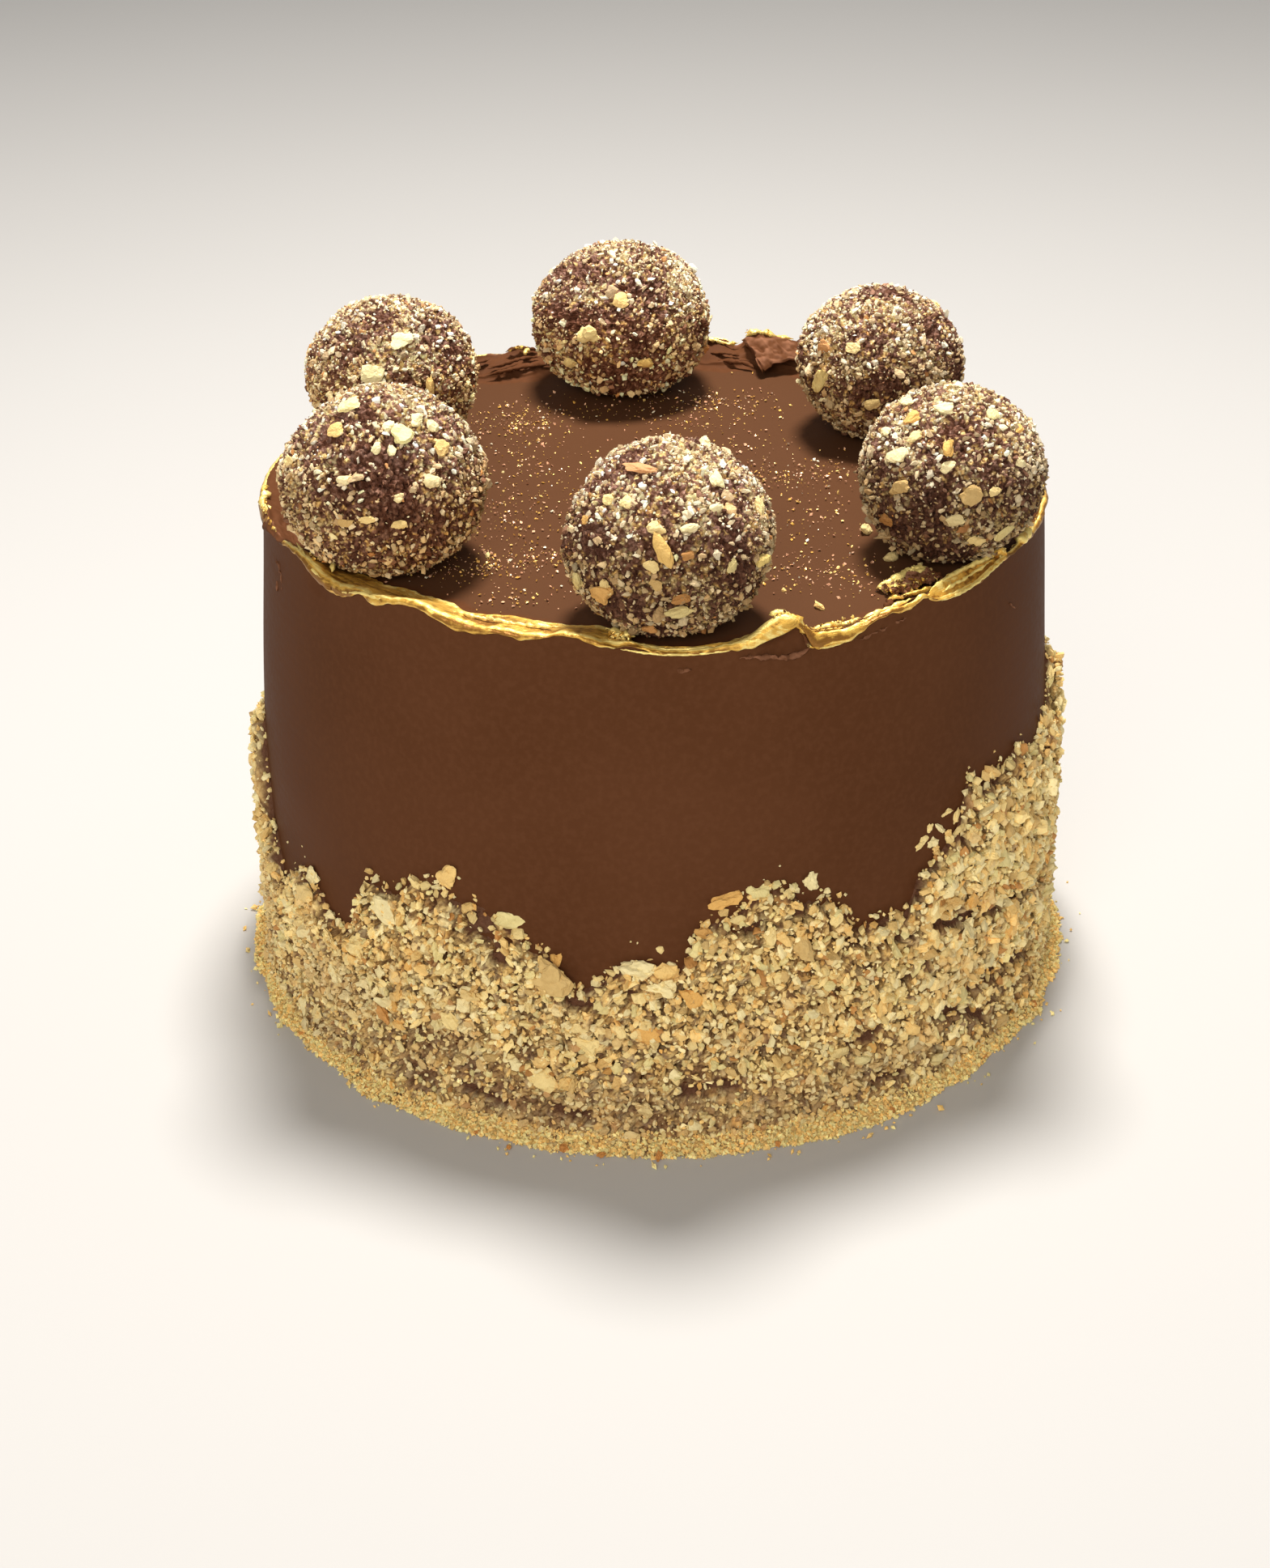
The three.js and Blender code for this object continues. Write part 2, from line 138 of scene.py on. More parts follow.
# Torn strips of cream on and about the lip. Each is a path of (angle, radius, height over the top), its
# thickness across and up, how gilt it is, its tone, whose high values paint a highlight on the bright ridges and
# lines, and how much it strays. Gilt below -1 is plain brown.
STRIPS = (
    # the brown torn side of the flap in front of the right truffle, and its foot
    (((317.2, 70.6, 1.9), (317.4, 72.6, 1.5), (316.2, 74.4, 1.4)), 1.2, 1.2, -1.0, 0.2, 0.3),
    (((306.6, 71.6, 0.4), (308.0, 72.8, 0.9), (310.0, 73.8, 1.2), (312.2, 74.6, 1.4), (314.4, 75.4, 1.5)),
     0.9, 0.9, 0.2, 0.35, 0.35),
    (((304.6, 74.0, 0.4), (306.2, 73.2, 0.6), (307.2, 72.0, 0.4)), 1.2, 0.8, -0.6, 0.0, 0.3),
    # the bright ridge of the flap
    (((307.8, 67.9, 1.1), (309.6, 68.1, 1.8), (311.8, 68.2, 2.4), (314.0, 68.6, 2.8), (315.8, 69.3, 2.9)),
     1.3, 0.9, 1.4, 1.2, 0.4),
    # bright ridges in the broad panel on the right
    (((312.2, 76.4, 2.3), (315, 76.3, 3.0), (319, 76.4, 3.2), (323, 77.2, 3.4), (326.4, 77.8, 3.3)),
     0.8, 0.8, 1.4, 1.15, 0.3),
    (((313.0, 78.0, 1.9), (316, 77.9, 2.2), (320, 78.0, 2.5), (324, 78.4, 3.2)), 0.6, 0.6, 1.3, 1.0, 0.3),
    (((311.6, 79.2, 0.9), (315, 79.5, 1.0), (319, 79.6, 1.4), (323, 79.6, 2.1), (327, 79.6, 2.8)),
     0.7, 0.5, 1.2, 1.15, 0.2),
    (((325.4, 76.4, 3.0), (327.2, 77.2, 3.0), (328.6, 78.4, 2.5)), 1.6, 1.5, 0.9, 0.5, 0.5),
    # folds of the lip at the far right
    (((332.4, 78.2, 2.2), (333.6, 78.8, 3.0), (335.4, 78.9, 2.9), (336.6, 78.4, 2.2)), 1.7, 1.6, 1.0, 0.7, 0.5),
    # torn tips of the peak and its crumpled right side
    (((285.0, 77.2, 5.6), (286.0, 77.3, 6.1), (287.0, 77.5, 6.0), (288.1, 78.0, 5.2)), 1.0, 0.8, 1.3, 1.1, 0.35),
    (((287.4, 77.8, 5.3), (288.5, 78.3, 4.7), (289.2, 78.9, 3.4), (289.7, 79.1, 1.9)), 1.4, 1.3, 0.7, 0.35, 0.5),
    (((283.0, 78.8, 1.8), (285.0, 79.2, 2.9), (287.0, 79.5, 4.2), (288.3, 79.4, 4.4)), 0.6, 0.5, 1.3, 1.2, 0.2),
    (((289.2, 79.3, 2.2), (289.7, 79.5, 0.6), (290.2, 79.6, -0.7), (290.8, 79.7, -1.1)), 0.6, 0.6, 0.3, 0.6, 0.25),
    (((290.8, 79.6, -1.0), (293, 79.7, -1.3), (295.4, 79.7, -1.0)), 0.6, 0.45, 1.0, 0.75, 0.12),
    (((292.2, 79.0, 0.6), (294.4, 79.0, 0.4), (296.8, 78.9, 0.9), (299.2, 78.7, 1.9)), 0.5, 0.5, 1.3, 1.2, 0.35),
    (((295.0, 78.5, 1.0), (296.6, 78.5, 1.2), (298.2, 78.4, 1.7)), 0.6, 0.5, -2.0, 0.0, 0.3),
    (((298.6, 78.2, 2.2), (301.2, 78.4, 2.7), (304.0, 78.3, 2.9), (307.0, 78.2, 3.1)), 0.8, 0.6, 1.3, 1.1, 0.35),
    (((291.0, 77.4, 1.9), (293.6, 77.3, 1.7), (296.4, 77.6, 1.4), (298.6, 77.7, 1.8)), 0.8, 0.7, 1.3, 0.8, 0.45),
    # thin bright lines in front of the front truffle
    (((266.6, 78.0, 2.1), (268.6, 78.3, 1.5), (271, 78.4, 0.9), (274, 78.4, 0.8), (277.4, 78.2, 0.9)),
     0.8, 0.6, 1.2, 1.1, 0.2),
    (((264.8, 79.2, 1.3), (267.6, 79.5, 0.9), (271, 79.5, 0.35), (275, 79.5, 0.25), (279, 79.4, 0.6),
     (282.4, 79.2, 1.3)), 0.5, 0.5, 1.3, 1.1, 0.15),
    (((262.6, 72.6, 2.4), (263.8, 74.2, 2.5), (265.4, 75.4, 2.6), (266.8, 76.6, 2.5)), 1.2, 1.1, 1.1, 0.95, 0.6),
    (((263.2, 77.6, 2.6), (264.4, 78.4, 2.0), (265.6, 78.8, 1.2)), 1.0, 0.9, 0.6, 0.3, 0.5),
    # ridge lines and folds on the left
    (((206.6, 77.4, 3.6), (210.4, 78.3, 3.7), (213.4, 79.1, 3.1), (216.4, 79.4, 2.2), (218.8, 79.3, 1.8)),
     0.7, 0.6, 1.3, 0.9, 0.2),
    (((213.8, 73.4, 3.1), (215.2, 74.8, 3.8), (216.6, 76.2, 3.6), (217.4, 77.2, 3.0)), 1.0, 1.0, 1.2, 0.95, 0.4),
    (((220.2, 79.6, 0.9), (223.4, 79.5, 1.9), (226.4, 79.5, 3.2), (229.4, 79.3, 3.2), (232.6, 79.2, 3.9)),
     0.7, 0.6, 1.3, 0.95, 0.2),
    (((219.0, 78.6, 1.9), (219.6, 79.3, 1.4), (219.9, 79.7, 0.7)), 0.7, 0.8, -2.0, 0.0, 0.3),
    (((240.6, 76.4, 3.4), (243.8, 76.0, 3.2), (247.6, 75.6, 2.9), (252, 75.4, 2.8), (257, 75.6, 3.3)),
     0.8, 0.8, 1.2, 0.85, 0.3),
    # loops of torn gold at the far left
    (((181.6, 78.4, 1.8), (183.4, 79.0, 2.6), (185.4, 79.0, 2.4)), 1.3, 1.3, 0.9, 0.6, 0.6),
    (((185.8, 77.2, 2.6), (187.4, 78.6, 3.3), (189.4, 79.2, 3.2), (191.2, 78.8, 2.6), (192.2, 77.8, 2.0)),
     1.4, 1.3, 1.0, 0.75, 0.6),
    # the crest at the back
    (((66.2, 80.2, 5.3), (68.4, 79.6, 5.5), (70.4, 78.8, 6.3), (72.4, 78.0, 6.7), (73.6, 77.4, 5.8)),
     1.5, 0.9, 1.1, 0.8, 0.5),
    (((66.6, 78.4, 4.4), (68.8, 77.6, 4.7), (70.6, 76.6, 5.2)), 1.1, 0.7, 1.2, 0.95, 0.35),
    (((74.8, 77.6, 3.8), (76.8, 77.2, 3.7), (79.0, 77.2, 4.4), (81.2, 77.6, 4.4)), 1.1, 0.8, 0.9, 0.85, 0.4),
    (((72.2, 76.6, 5.0), (73.0, 75.6, 4.4), (72.4, 75.2, 3.8)), 0.9, 0.9, -0.5, 0.0, 0.4),
    (((70.6, 70.6, 1.0), (72.8, 71.2, 1.5), (75.4, 71.8, 1.5), (78.0, 73.0, 1.0)), 1.3, 1.0, -3.0, 0.0, 0.25),
    (((74.0, 73.4, 2.4), (76.4, 73.6, 2.6), (79.4, 74.4, 2.2)), 1.0, 0.7, -3.0, 0.0, 0.25),
    (((63.4, 80.0, 4.6), (61.8, 80.4, 5.4), (60.2, 79.8, 4.8)), 1.4, 1.3, -0.4, 0.3, 0.5),
    (((108.8, 77.6, 3.2), (111.0, 77.0, 4.2), (112.8, 76.6, 4.9), (115.0, 76.8, 4.2)), 1.0, 0.8, -0.2, 0.5, 0.4),
    (((111.0, 76.0, 4.4), (111.9, 75.0, 4.2), (112.0, 74.4, 3.7)), 1.1, 0.9, 0.9, 0.9, 0.3),
    (((109.6, 74.8, 2.6), (113.0, 73.8, 3.2), (116.4, 73.4, 2.8), (119.6, 73.6, 2.3)), 1.0, 0.8, -3.0, 0.0, 0.25),
    (((108.0, 72.4, 1.2), (112.0, 71.2, 2.2), (116.0, 71.0, 2.2), (120.4, 72.0, 1.4)), 1.1, 0.9, -3.0, 0.0, 0.25),
    (((118.2, 76.0, 3.6), (121.0, 76.0, 3.2), (124.6, 76.8, 2.2)), 1.0, 0.8, -3.0, 0.0, 0.3),
)

# Smears and scars on the smooth side: paths of (angle, height below the top edge), with their width and depth.
SMEARS = (
    (((281.6, 1.4), (283.6, 1.5), (285.6, 2.0), (287.6, 2.1), (289.4, 1.6), (290.4, 1.0)), 0.85, 0.7),
    (((280.6, 1.3), (281.6, 1.1), (282.8, 1.4)), 0.6, 0.4),
    (((297.2, 1.6), (299.2, 1.2), (301.6, 0.7), (304.2, 0.1), (306.2, -0.5)), 0.35, 0.4),
    (((272.4, 2.6), (273.2, 3.0), (274.2, 2.7)), 0.6, 0.4),
    (((200.6, 2.8), (202.2, 3.4), (203.2, 5.4), (203.6, 7.8)), 0.5, 0.4),
    (((201.2, 7.2), (201.6, 9.0)), 0.5, 0.4),
    (((330.4, 9.6), (329.4, 8.8), (328.6, 7.8)), 0.4, 0.4),
)
SMEAR_HIGHLIGHT_TONE, SMEAR_STRAY, SMEAR_LIFT = 1.0, 0.55, 0.05  # the smears' tone paints a highlight, paler than the smooth coat, on edges that catch the light

# Torn sheets of cream: rows of (angle, radius, height over the top) from one edge to the other, then their
# thickness, how gilt they are at rows from the first to the last, their tone, a painted light that rises on the
# crests of their folds, and the depth of their folds.
SHEETS = (
    # hanging inward from the lip at the back, from its crest to its free tip
    (((((74.4, 77.6, 4.6), (72.2, 78.8, 5.9), (69.6, 79.4, 5.3), (66.6, 79.8, 5.0), (63.4, 80.0, 4.8)),
       ((73.2, 75.8, 4.0), (71.2, 76.0, 4.9), (68.8, 76.6, 4.8), (66.0, 77.0, 4.5), (63.0, 77.6, 4.4)),
       ((71.4, 72.8, 3.3), (70.0, 73.2, 3.9), (67.6, 74.0, 3.8), (65.0, 75.0, 3.8), (62.6, 76.0, 3.9)),
       ((69.8, 69.8, 2.6), (69.0, 69.9, 2.9), (67.0, 71.2, 3.0), (64.6, 73.0, 3.2), (62.4, 74.6, 3.4)),
       ((68.3, 67.0, 1.7), (67.9, 67.2, 1.8), (66.4, 69.4, 2.4), (64.2, 72.0, 2.8), (62.2, 73.8, 3.0)))),
     0.8, (0.3, -3.0, -3.0, -3.0, -3.0), 0.7, 0.75),
    # the flap in front of the right truffle, over its raised edge and down into the hollow
    ((((307.6, 67.0, 0.0), (310, 66.9, 0.1), (312.2, 67.0, 0.2), (314.4, 67.4, 0.3), (316.4, 68.2, 0.3),
     (318.4, 69.8, 0.2)),
      ((307.9, 67.7, 1.0), (310, 67.8, 1.7), (312.1, 68.0, 2.2), (314.2, 68.5, 2.6), (315.8, 69.2, 2.7),
       (317.4, 70.4, 2.3)),
      ((308.0, 68.4, 0.9), (310, 68.7, 1.4), (311.9, 69.3, 1.8), (313.4, 70.2, 2.1), (314.8, 71.2, 2.3),
       (316.4, 71.8, 2.0)),
      ((308.2, 69.1, 0.3), (309.9, 69.7, 0.6), (311.3, 70.6, 0.9), (312.5, 71.6, 1.1), (314.0, 72.6, 1.3),
       (315.8, 73.2, 1.2))),
     0.7, (-0.8, 0.9, -0.1, -0.3), 1.15, 0.45),
)

# Crumbled gold on the lip: (angle, radius, height over the top, reach round in degrees, reach across, pieces,
# half length, how gilt).
CRUMBLED = (
    (310.6, 70.9, 1.7, 2.7, 1.8, 230, 0.6, -0.2), (314.8, 71.8, 2.3, 1.6, 1.9, 100, 0.6, -0.4),
    (264.6, 76.6, 2.5, 1.6, 1.5, 40, 0.45, 0.8), (289.0, 78.4, 3.8, 0.9, 0.9, 26, 0.4, 0.6),
    (295.0, 77.4, 1.9, 3.6, 0.7, 34, 0.32, 0.9), (326.8, 78.0, 3.1, 1.4, 1.0, 28, 0.4, 0.8),
    (286.4, 78.5, 6.1, 1.0, 0.4, 16, 0.3, 0.9), (72.0, 78.2, 6.3, 2.0, 0.6, 24, 0.3, 0.9),
    (190.6, 79.0, 3.2, 3.4, 0.7, 26, 0.32, 0.8), (212.2, 77.0, 3.6, 1.4, 1.2, 18, 0.35, 0.5),
)

TRUFFLE_GAP = 0.3  # clearance between a truffle and the top
TRUFFLE_FOOT = 0.95  # depth of its flat foot below its middle, as a share of its half height
TRUFFLE_FULLNESS = 0.94  # that depth as a share of its lower half before the foot was flattened
TRUFFLE_LUMP = 0.03  # unevenness of its ball, as a share of its radius

# Each truffle: name, angle, distance from the axis, half width, half height, how pointed its crown is, and
# how pale its lower part is, partly from its coating and partly a painted shade that darkens the truffles lying more
# in shade.
TRUFFLES = (
    dict(name="truffle_front", angle=272.2, out=64.3, width=19.2, height=17.6, point=0.02, coat=0.73),
    dict(name="truffle_right", angle=329.2, out=66.2, width=17.7, height=16.7, point=0.0, coat=0.6),
    dict(name="truffle_back_right", angle=32.3, out=57.0, width=17.3, height=15.7, point=0.0, coat=0.85),
    dict(name="truffle_back", angle=96.1, out=58.7, width=19.5, height=16.3, point=0.0, coat=1.3),
    dict(name="truffle_back_left", angle=155.7, out=59.5, width=17.8, height=16.2, point=0.05, coat=1.28),
    dict(name="truffle_left", angle=215.0, out=63.0, width=19.5, height=17.8, point=0.1, coat=0.96),
)


# ---------------------------------------------------------------- numbers and noise
NOISE_SIZE = 32
NOISE_SEED, CRUMB_SEED = 5, 6
CRUMB_NUMBERS = 4  # random numbers that each crumb of a relief has of its own
NOISE_TABLE = np.random.default_rng(NOISE_SEED).random((NOISE_SIZE,) * 3)
CRUMB_TABLE = np.random.default_rng(CRUMB_SEED).random((NOISE_SIZE,) * 3 + (3 + CRUMB_NUMBERS,))
CRUMB_TILT, CRUMB_STEP = 1.7, 0.55  # how far the crumbs of a relief tilt, and stand over each other
CREVICE_DEPTH, CREVICE_WIDTH = 0.28, 0.22  # the gaps between them, in crumb sizes
TINY = 1e-6  # the least length that is divided by


def rgb(red, green, blue):
    """A display colour, 0 to 255, as scene-linear numbers."""
    shade = np.array((red, green, blue)) / 255
    return np.where(shade <= 0.04045, shade / 12.92, ((shade + 0.055) / 1.055) ** 2.4)


def smooth(share):
    """0 below 0, 1 above 1, and an eased step between."""
    share = np.clip(share, 0, 1)
    return share * share * (3 - 2 * share)


def blend(low, high, share):
    return low + (high - low) * share


def unit(vectors):
    """Vectors at length 1."""
    return vectors / np.maximum(np.linalg.norm(vectors, axis=-1, keepdims=True), TINY)


def in_table(table, cell):
    """What a table that repeats in space holds at cells."""
    x, y, z = np.moveaxis(cell % NOISE_SIZE, -1, 0)
    return table[x, y, z]


def noise(points, scale, shift=0.0):
    """Smooth random numbers from 0 to 1 at points in space, varying over `scale`."""
    place = np.asarray(points, float) / scale + shift
    cell = np.floor(place).astype(int)
    share = smooth(place - cell)
    total = np.zeros(place.shape[:-1])
    for corner in np.ndindex(2, 2, 2):
        weight = np.prod(np.where(corner, share, 1 - share), axis=-1)
        total += weight * in_table(NOISE_TABLE, cell + corner)
    return total


def wobble(points, scale, shift=0.0):
    """Smooth random numbers from -0.5 to 0.5."""
    return noise(points, scale, shift) - 0.5


def wobbles(points, scale, shifts):
    """One of them for each shift, side by side."""
    return np.stack([wobble(points, scale, shift) for shift in shifts], axis=-1)


def layered(points, layers):
    """The sum of such numbers, from layers of strength, scale and shift."""
    return sum(strength * wobble(points, scale, shift) for strength, scale, shift in layers)


def crumbled(points, size, shift=0.0):
    """Space broken into crumbs about `size` across: for points in it, the depth inside the crumb (0 on its
    border), that crumb's own random numbers and the place in it from its middle, in crumb sizes."""
    place = np.asarray(points, float) / size + shift
    cell = np.floor(place).astype(int)
    nearest = second = np.full(place.shape[:-1], np.inf)
    own, offset = np.zeros((*place.shape[:-1], CRUMB_NUMBERS)), np.zeros(place.shape)
    for step in np.ndindex(3, 3, 3):
        corner = cell + np.array(step) - 1
        table = in_table(CRUMB_TABLE, corner)
        apart = place - corner - table[..., :3]
        distance = np.linalg.norm(apart, axis=-1)
        closer = distance < nearest
        second = np.where(closer, nearest, np.minimum(second, distance))
        nearest = np.where(closer, distance, nearest)
        own = np.where(closer[..., None], table[..., 3:], own)
        offset = np.where(closer[..., None], apart, offset)
    return second - nearest, own, offset


def crumb_relief(points, size, shift=0.0):
    """Height of broken crumbs with tilted faces, in crumb sizes about 0, the depth inside each, and its
    numbers."""
    gap, own, offset = crumbled(points, size, shift)
    tilt = np.sum(offset * (own[..., 1:] - 0.5), axis=-1) * CRUMB_TILT
    crevice = 1 - smooth(gap / CREVICE_WIDTH)
    return CRUMB_STEP * (own[..., 0] - 0.5) + tilt - CREVICE_DEPTH * crevice, gap, own


def from_palette(palette, weights, number):
    """The colour of a palette for random numbers from 0 to 1."""
    steps = np.cumsum(weights) / np.sum(weights)
    return np.asarray(palette)[np.minimum(np.searchsorted(steps, number), len(palette) - 1)]


def on_circle(turn, radius, z):
    """Points at angles in degrees."""
    turn = np.radians(turn)
    return np.stack(np.broadcast_arrays(radius * np.cos(turn), radius * np.sin(turn), z), axis=-1)


def over_top(rows):
    """Points from rows of angle, radius and height over the top."""
    turn, radius, up = np.array(rows, float).T
    return on_circle(turn, radius, TOP_Z + up)


def upright(count):
    """Normals that all point up."""
    return np.tile((0.0, 0.0, 1.0), (count, 1))


# ---------------------------------------------------------------- meshes
NO_GILT = -3.0  # the attribute gilt of plain cream
CUT_REACH = (0.45, 0.85)  # where flat faces are cut off a broken piece, as shares of its radius
JAG_LIMIT = 2  # the most that its corners stray, in mean strays
LOBES, LOBE_PITCH, LOBE_TURN, LOBE_SPREAD = 5, 2.6, 6.3, 1.6  # the waves that make its sides bulge
THICKNESS_RANGE = (0.7, 1.2)  # how much its flatness varies
PLACED_LENGTHEN = 1.25  # how much longer a placed piece starts out, because the cuts shorten it
PLACED_SLENDER, PLACED_FLATNESS = (0.99, 1.0), 1.05  # its width and thickness come from its frame


def make_object(name, points, faces, material, shade_smooth, attributes):
    """A piece from points in millimetres. attributes are (name, type, data) for its points."""
    mesh = bpy.data.meshes.new(name)
    mesh.from_pydata((np.asarray(points) * MM).tolist(), [], faces)
    for label, kind, data in attributes:
        layer = mesh.attributes.new(label, kind, "POINT")
        field = {"FLOAT": "value", "FLOAT_VECTOR": "vector", "FLOAT_COLOR": "color"}[kind]
        layer.data.foreach_set(field, np.ascontiguousarray(data, dtype=np.float32).ravel())
    mesh.polygons.foreach_set("use_smooth", [shade_smooth] * len(mesh.polygons))
    mesh.materials.append(material)
    mesh.update()
    piece = bpy.data.objects.new(name, mesh)
    bpy.context.scene.collection.objects.link(piece)
    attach(piece, "root")
    return piece


def cream_piece(name, points, faces, gilt, tone, brush, material, shade_smooth=True):
    """A piece of cream, with how gilt its points are, their tone and the place that brush marks follow."""
    attributes = (("gilt", "FLOAT", gilt), ("tone", "FLOAT", tone), ("brush", "FLOAT_VECTOR", brush))
    return make_object(name, points, faces, material, shade_smooth, attributes)


def shaded_piece(name, points, faces, shades, material):
    """A piece with flat faces, and a colour for each of its points."""
    shades = np.column_stack((shades, np.ones(len(shades))))
    return make_object(name, points, faces, material, False, (("shade", "FLOAT_COLOR", shades),))


def join(parts):
    """The points, faces and further arrays of parts, joined."""
    faces, count = [], 0
    for points, own_faces, *_ in parts:
        faces += [[corner + count for corner in face] for face in own_faces]
        count += len(points)
    points, _, *others = zip(*parts)
    return np.concatenate(points), faces, *map(np.concatenate, others)


def grid_faces(rows, columns):
    """Four-sided faces of a grid of rows round an axis, closed on itself, facing out."""
    low = np.arange(rows - 1)[:, None] * columns
    here = np.arange(columns)[None, :]
    after = (here + 1) % columns
    quads = np.stack((low + here, low + after, low + columns + after, low + columns + here), axis=-1)
    return quads.reshape(-1, 4).tolist()


def closed_faces(rows, columns):
    """Faces of such a grid with one more point at each end, after all the others."""
    here = np.arange(columns)
    after = (here + 1) % columns
    first, last = rows * columns, (rows - 1) * columns
    low = np.stack((after, here, np.full(columns, first)), axis=-1)
    high = np.stack((last + here, last + after, np.full(columns, first + 1)), axis=-1)
    return grid_faces(rows, columns) + low.tolist() + high.tolist()


def template_ball(subdivisions):
    """Corners and faces of a unit ball of 20 faces, or four times as many for each subdivision."""
    golden = (1 + math.sqrt(5)) / 2
    longest_edge = 2.01
    corners = []
    for a in (-1, 1):
        for b in (-golden, golden):
            corners += [(0, a, b), (a, b, 0), (b, 0, a)]
    corners = np.array(corners, float)
    faces = []
    for i, j, k in itertools.combinations(range(len(corners)), 3):
        triple = corners[[i, j, k]]
        if max(np.linalg.norm(triple - np.roll(triple, 1, 0), axis=1)) < longest_edge:
            out = np.dot(np.cross(triple[1] - triple[0], triple[2] - triple[0]), triple.sum(0))
            faces.append((i, j, k) if out > 0 else (i, k, j))
    corners = list(corners / np.linalg.norm(corners[0]))
    for _ in range(subdivisions):
        middles, finer = {}, []

        def middle(i, j):
            key = (min(i, j), max(i, j))
            if key not in middles:
                point = corners[i] + corners[j]
                corners.append(point / np.linalg.norm(point))
                middles[key] = len(corners) - 1
            return middles[key]

        for i, j, k in faces:
            a, b, c = middle(i, j), middle(j, k), middle(k, i)
            finer += [(i, a, c), (a, j, b), (c, b, k), (a, b, c)]
        faces = finer
    return np.array(corners), np.array(faces)


GRAIN = (
    np.array(((1, 0, 0), (-1, 0, 0), (0, 1, 0), (0, -1, 0), (0, 0, 1), (0, 0, -1)), float),
    np.array(((0, 2, 4), (2, 1, 4), (1, 3, 4), (3, 0, 4), (2, 0, 5), (1, 2, 5), (3, 1, 5), (0, 3, 5))),
)
BIT, CHUNK, BIG_CHUNK = template_ball(0), template_ball(1), template_ball(2)


def frames_on(normals, rng, tilt):
    """For each normal, a right-handed frame (rows: two tangents and the normal), turned at random and tilted."""
    up = unit(normals + tilt * rng.normal(size=normals.shape))
    side = rng.normal(size=normals.shape)
    side = unit(side - np.sum(side * up, axis=1, keepdims=True) * up)
    return np.stack((side, np.cross(up, side), up), axis=1)


def broken_pieces(template, rng, places, normals, sizes, flatness=0.6, cuts=4, tilt=0.35, jag=0.12, lobes=0.0,
                  slender=(0.55, 0.95), frames=None):
    """Joined broken pieces: balls with flat faces cut off, uneven in their three sizes, lying on `normals`.
    sizes are half lengths; jag is how far each corner strays and lobes how far whole sides bulge, as shares.
    slender is the range of their width over their length, and frames their axes if they don't lie at random.
    Gives their points, faces and the number of points in each."""
    corners, faces = template
    count, per_piece = len(places), len(corners)
    cut_normals = unit(rng.normal(size=(count, cuts, 3)))
    offsets = rng.uniform(*CUT_REACH, (count, cuts, 1))
    reach = np.einsum("npd,kd->npk", cut_normals, corners)
    scale = np.where(reach > offsets, offsets / np.maximum(reach, TINY), 1).min(axis=1)
    scale = scale * (1 + jag * np.clip(rng.normal(size=(count, per_piece)), -JAG_LIMIT, JAG_LIMIT))
    if lobes:
        waves = rng.normal(size=(count, LOBES, 3)) * LOBE_PITCH
        swings = np.einsum("npd,kd->npk", waves, corners) + rng.uniform(0, LOBE_TURN, (count, LOBES, 1))
        scale = scale * (1 + lobes * np.sin(swings).sum(axis=1) / LOBE_SPREAD)
    width, thickness = rng.uniform(*slender, count), flatness * rng.uniform(*THICKNESS_RANGE, count)
    girth = np.stack((np.ones(count), width, thickness), axis=1) * sizes[:, None]
    shape = corners[None] * scale[..., None] * girth[:, None, :]
    if frames is None:
        frames = frames_on(normals, rng, tilt)
    points = np.einsum("nkd,nde->nke", shape, frames) + places[:, None, :]
    joined = (faces[None] + (np.arange(count) * per_piece)[:, None, None]).reshape(-1, 3)
    return points.reshape(-1, 3), joined.tolist(), per_piece


def crumbs(name, template, material, rng, places, normals, sizes, palette, weights, spread=0.12, tint=None,
           lowest=FLOOR_GAP, slot="cream", **form):
    """Broken pieces as one piece. Each takes a colour from the palette, lighter or darker by about `spread`,
    and tint changes these colours. None reaches below `lowest`."""
    points, faces, per_piece = broken_pieces(template, rng, places, normals, sizes, **form)
    points[:, 2] = np.maximum(points[:, 2], lowest)
    count = len(places)
    shades = np.asarray(palette)[rng.choice(len(palette), count, p=np.array(weights) / np.sum(weights))]
    shades = shades * np.exp(spread * rng.normal(size=(count, 1)))
    if tint:
        shades = tint(shades)
    return shaded_piece(name, points, faces, np.repeat(shades, per_piece, axis=0), material)


def placed_pieces(name, material, slot, seed, places, normals, lengths, widths, depths, turns, shades, bulge):
    """Single pieces with given sizes, lying flat on their normals, their length turned from level."""
    rng = np.random.default_rng(seed)
    level = unit(np.cross((0.0, 0.0, 1.0), normals))
    turns = np.radians(turns)[:, None]
    along = np.cos(turns) * level + np.sin(turns) * np.cross(normals, level)
    frames = np.stack((along, np.cross(normals, along), normals), axis=1)
    frames = frames * np.stack((np.ones(len(lengths)), widths, depths), axis=1)[:, :, None]
    points, faces, per_piece = broken_pieces(
        BIG_CHUNK, rng, places, normals, lengths / 2 * PLACED_LENGTHEN, flatness=PLACED_FLATNESS,
        slender=PLACED_SLENDER, frames=frames, **bulge
    )
    points[:, 2] = np.maximum(points[:, 2], FLOOR_GAP)
    return shaded_piece(name, points, faces, np.repeat(shades, per_piece, axis=0), material)


# ---------------------------------------------------------------- materials
CREAM_DARK, CREAM_MID, CREAM_LIGHT = rgb(88, 53, 31), rgb(93, 57, 35), rgb(108, 70, 47)
# Plain cream under painted light: the first a paler painted highlight where torn edges catch the light, the second
# the flat top's painted sheen.
CREAM_EDGE_HIGHLIGHT, CREAM_TOP_SHEEN = rgb(152, 106, 80), rgb(85, 56, 37)
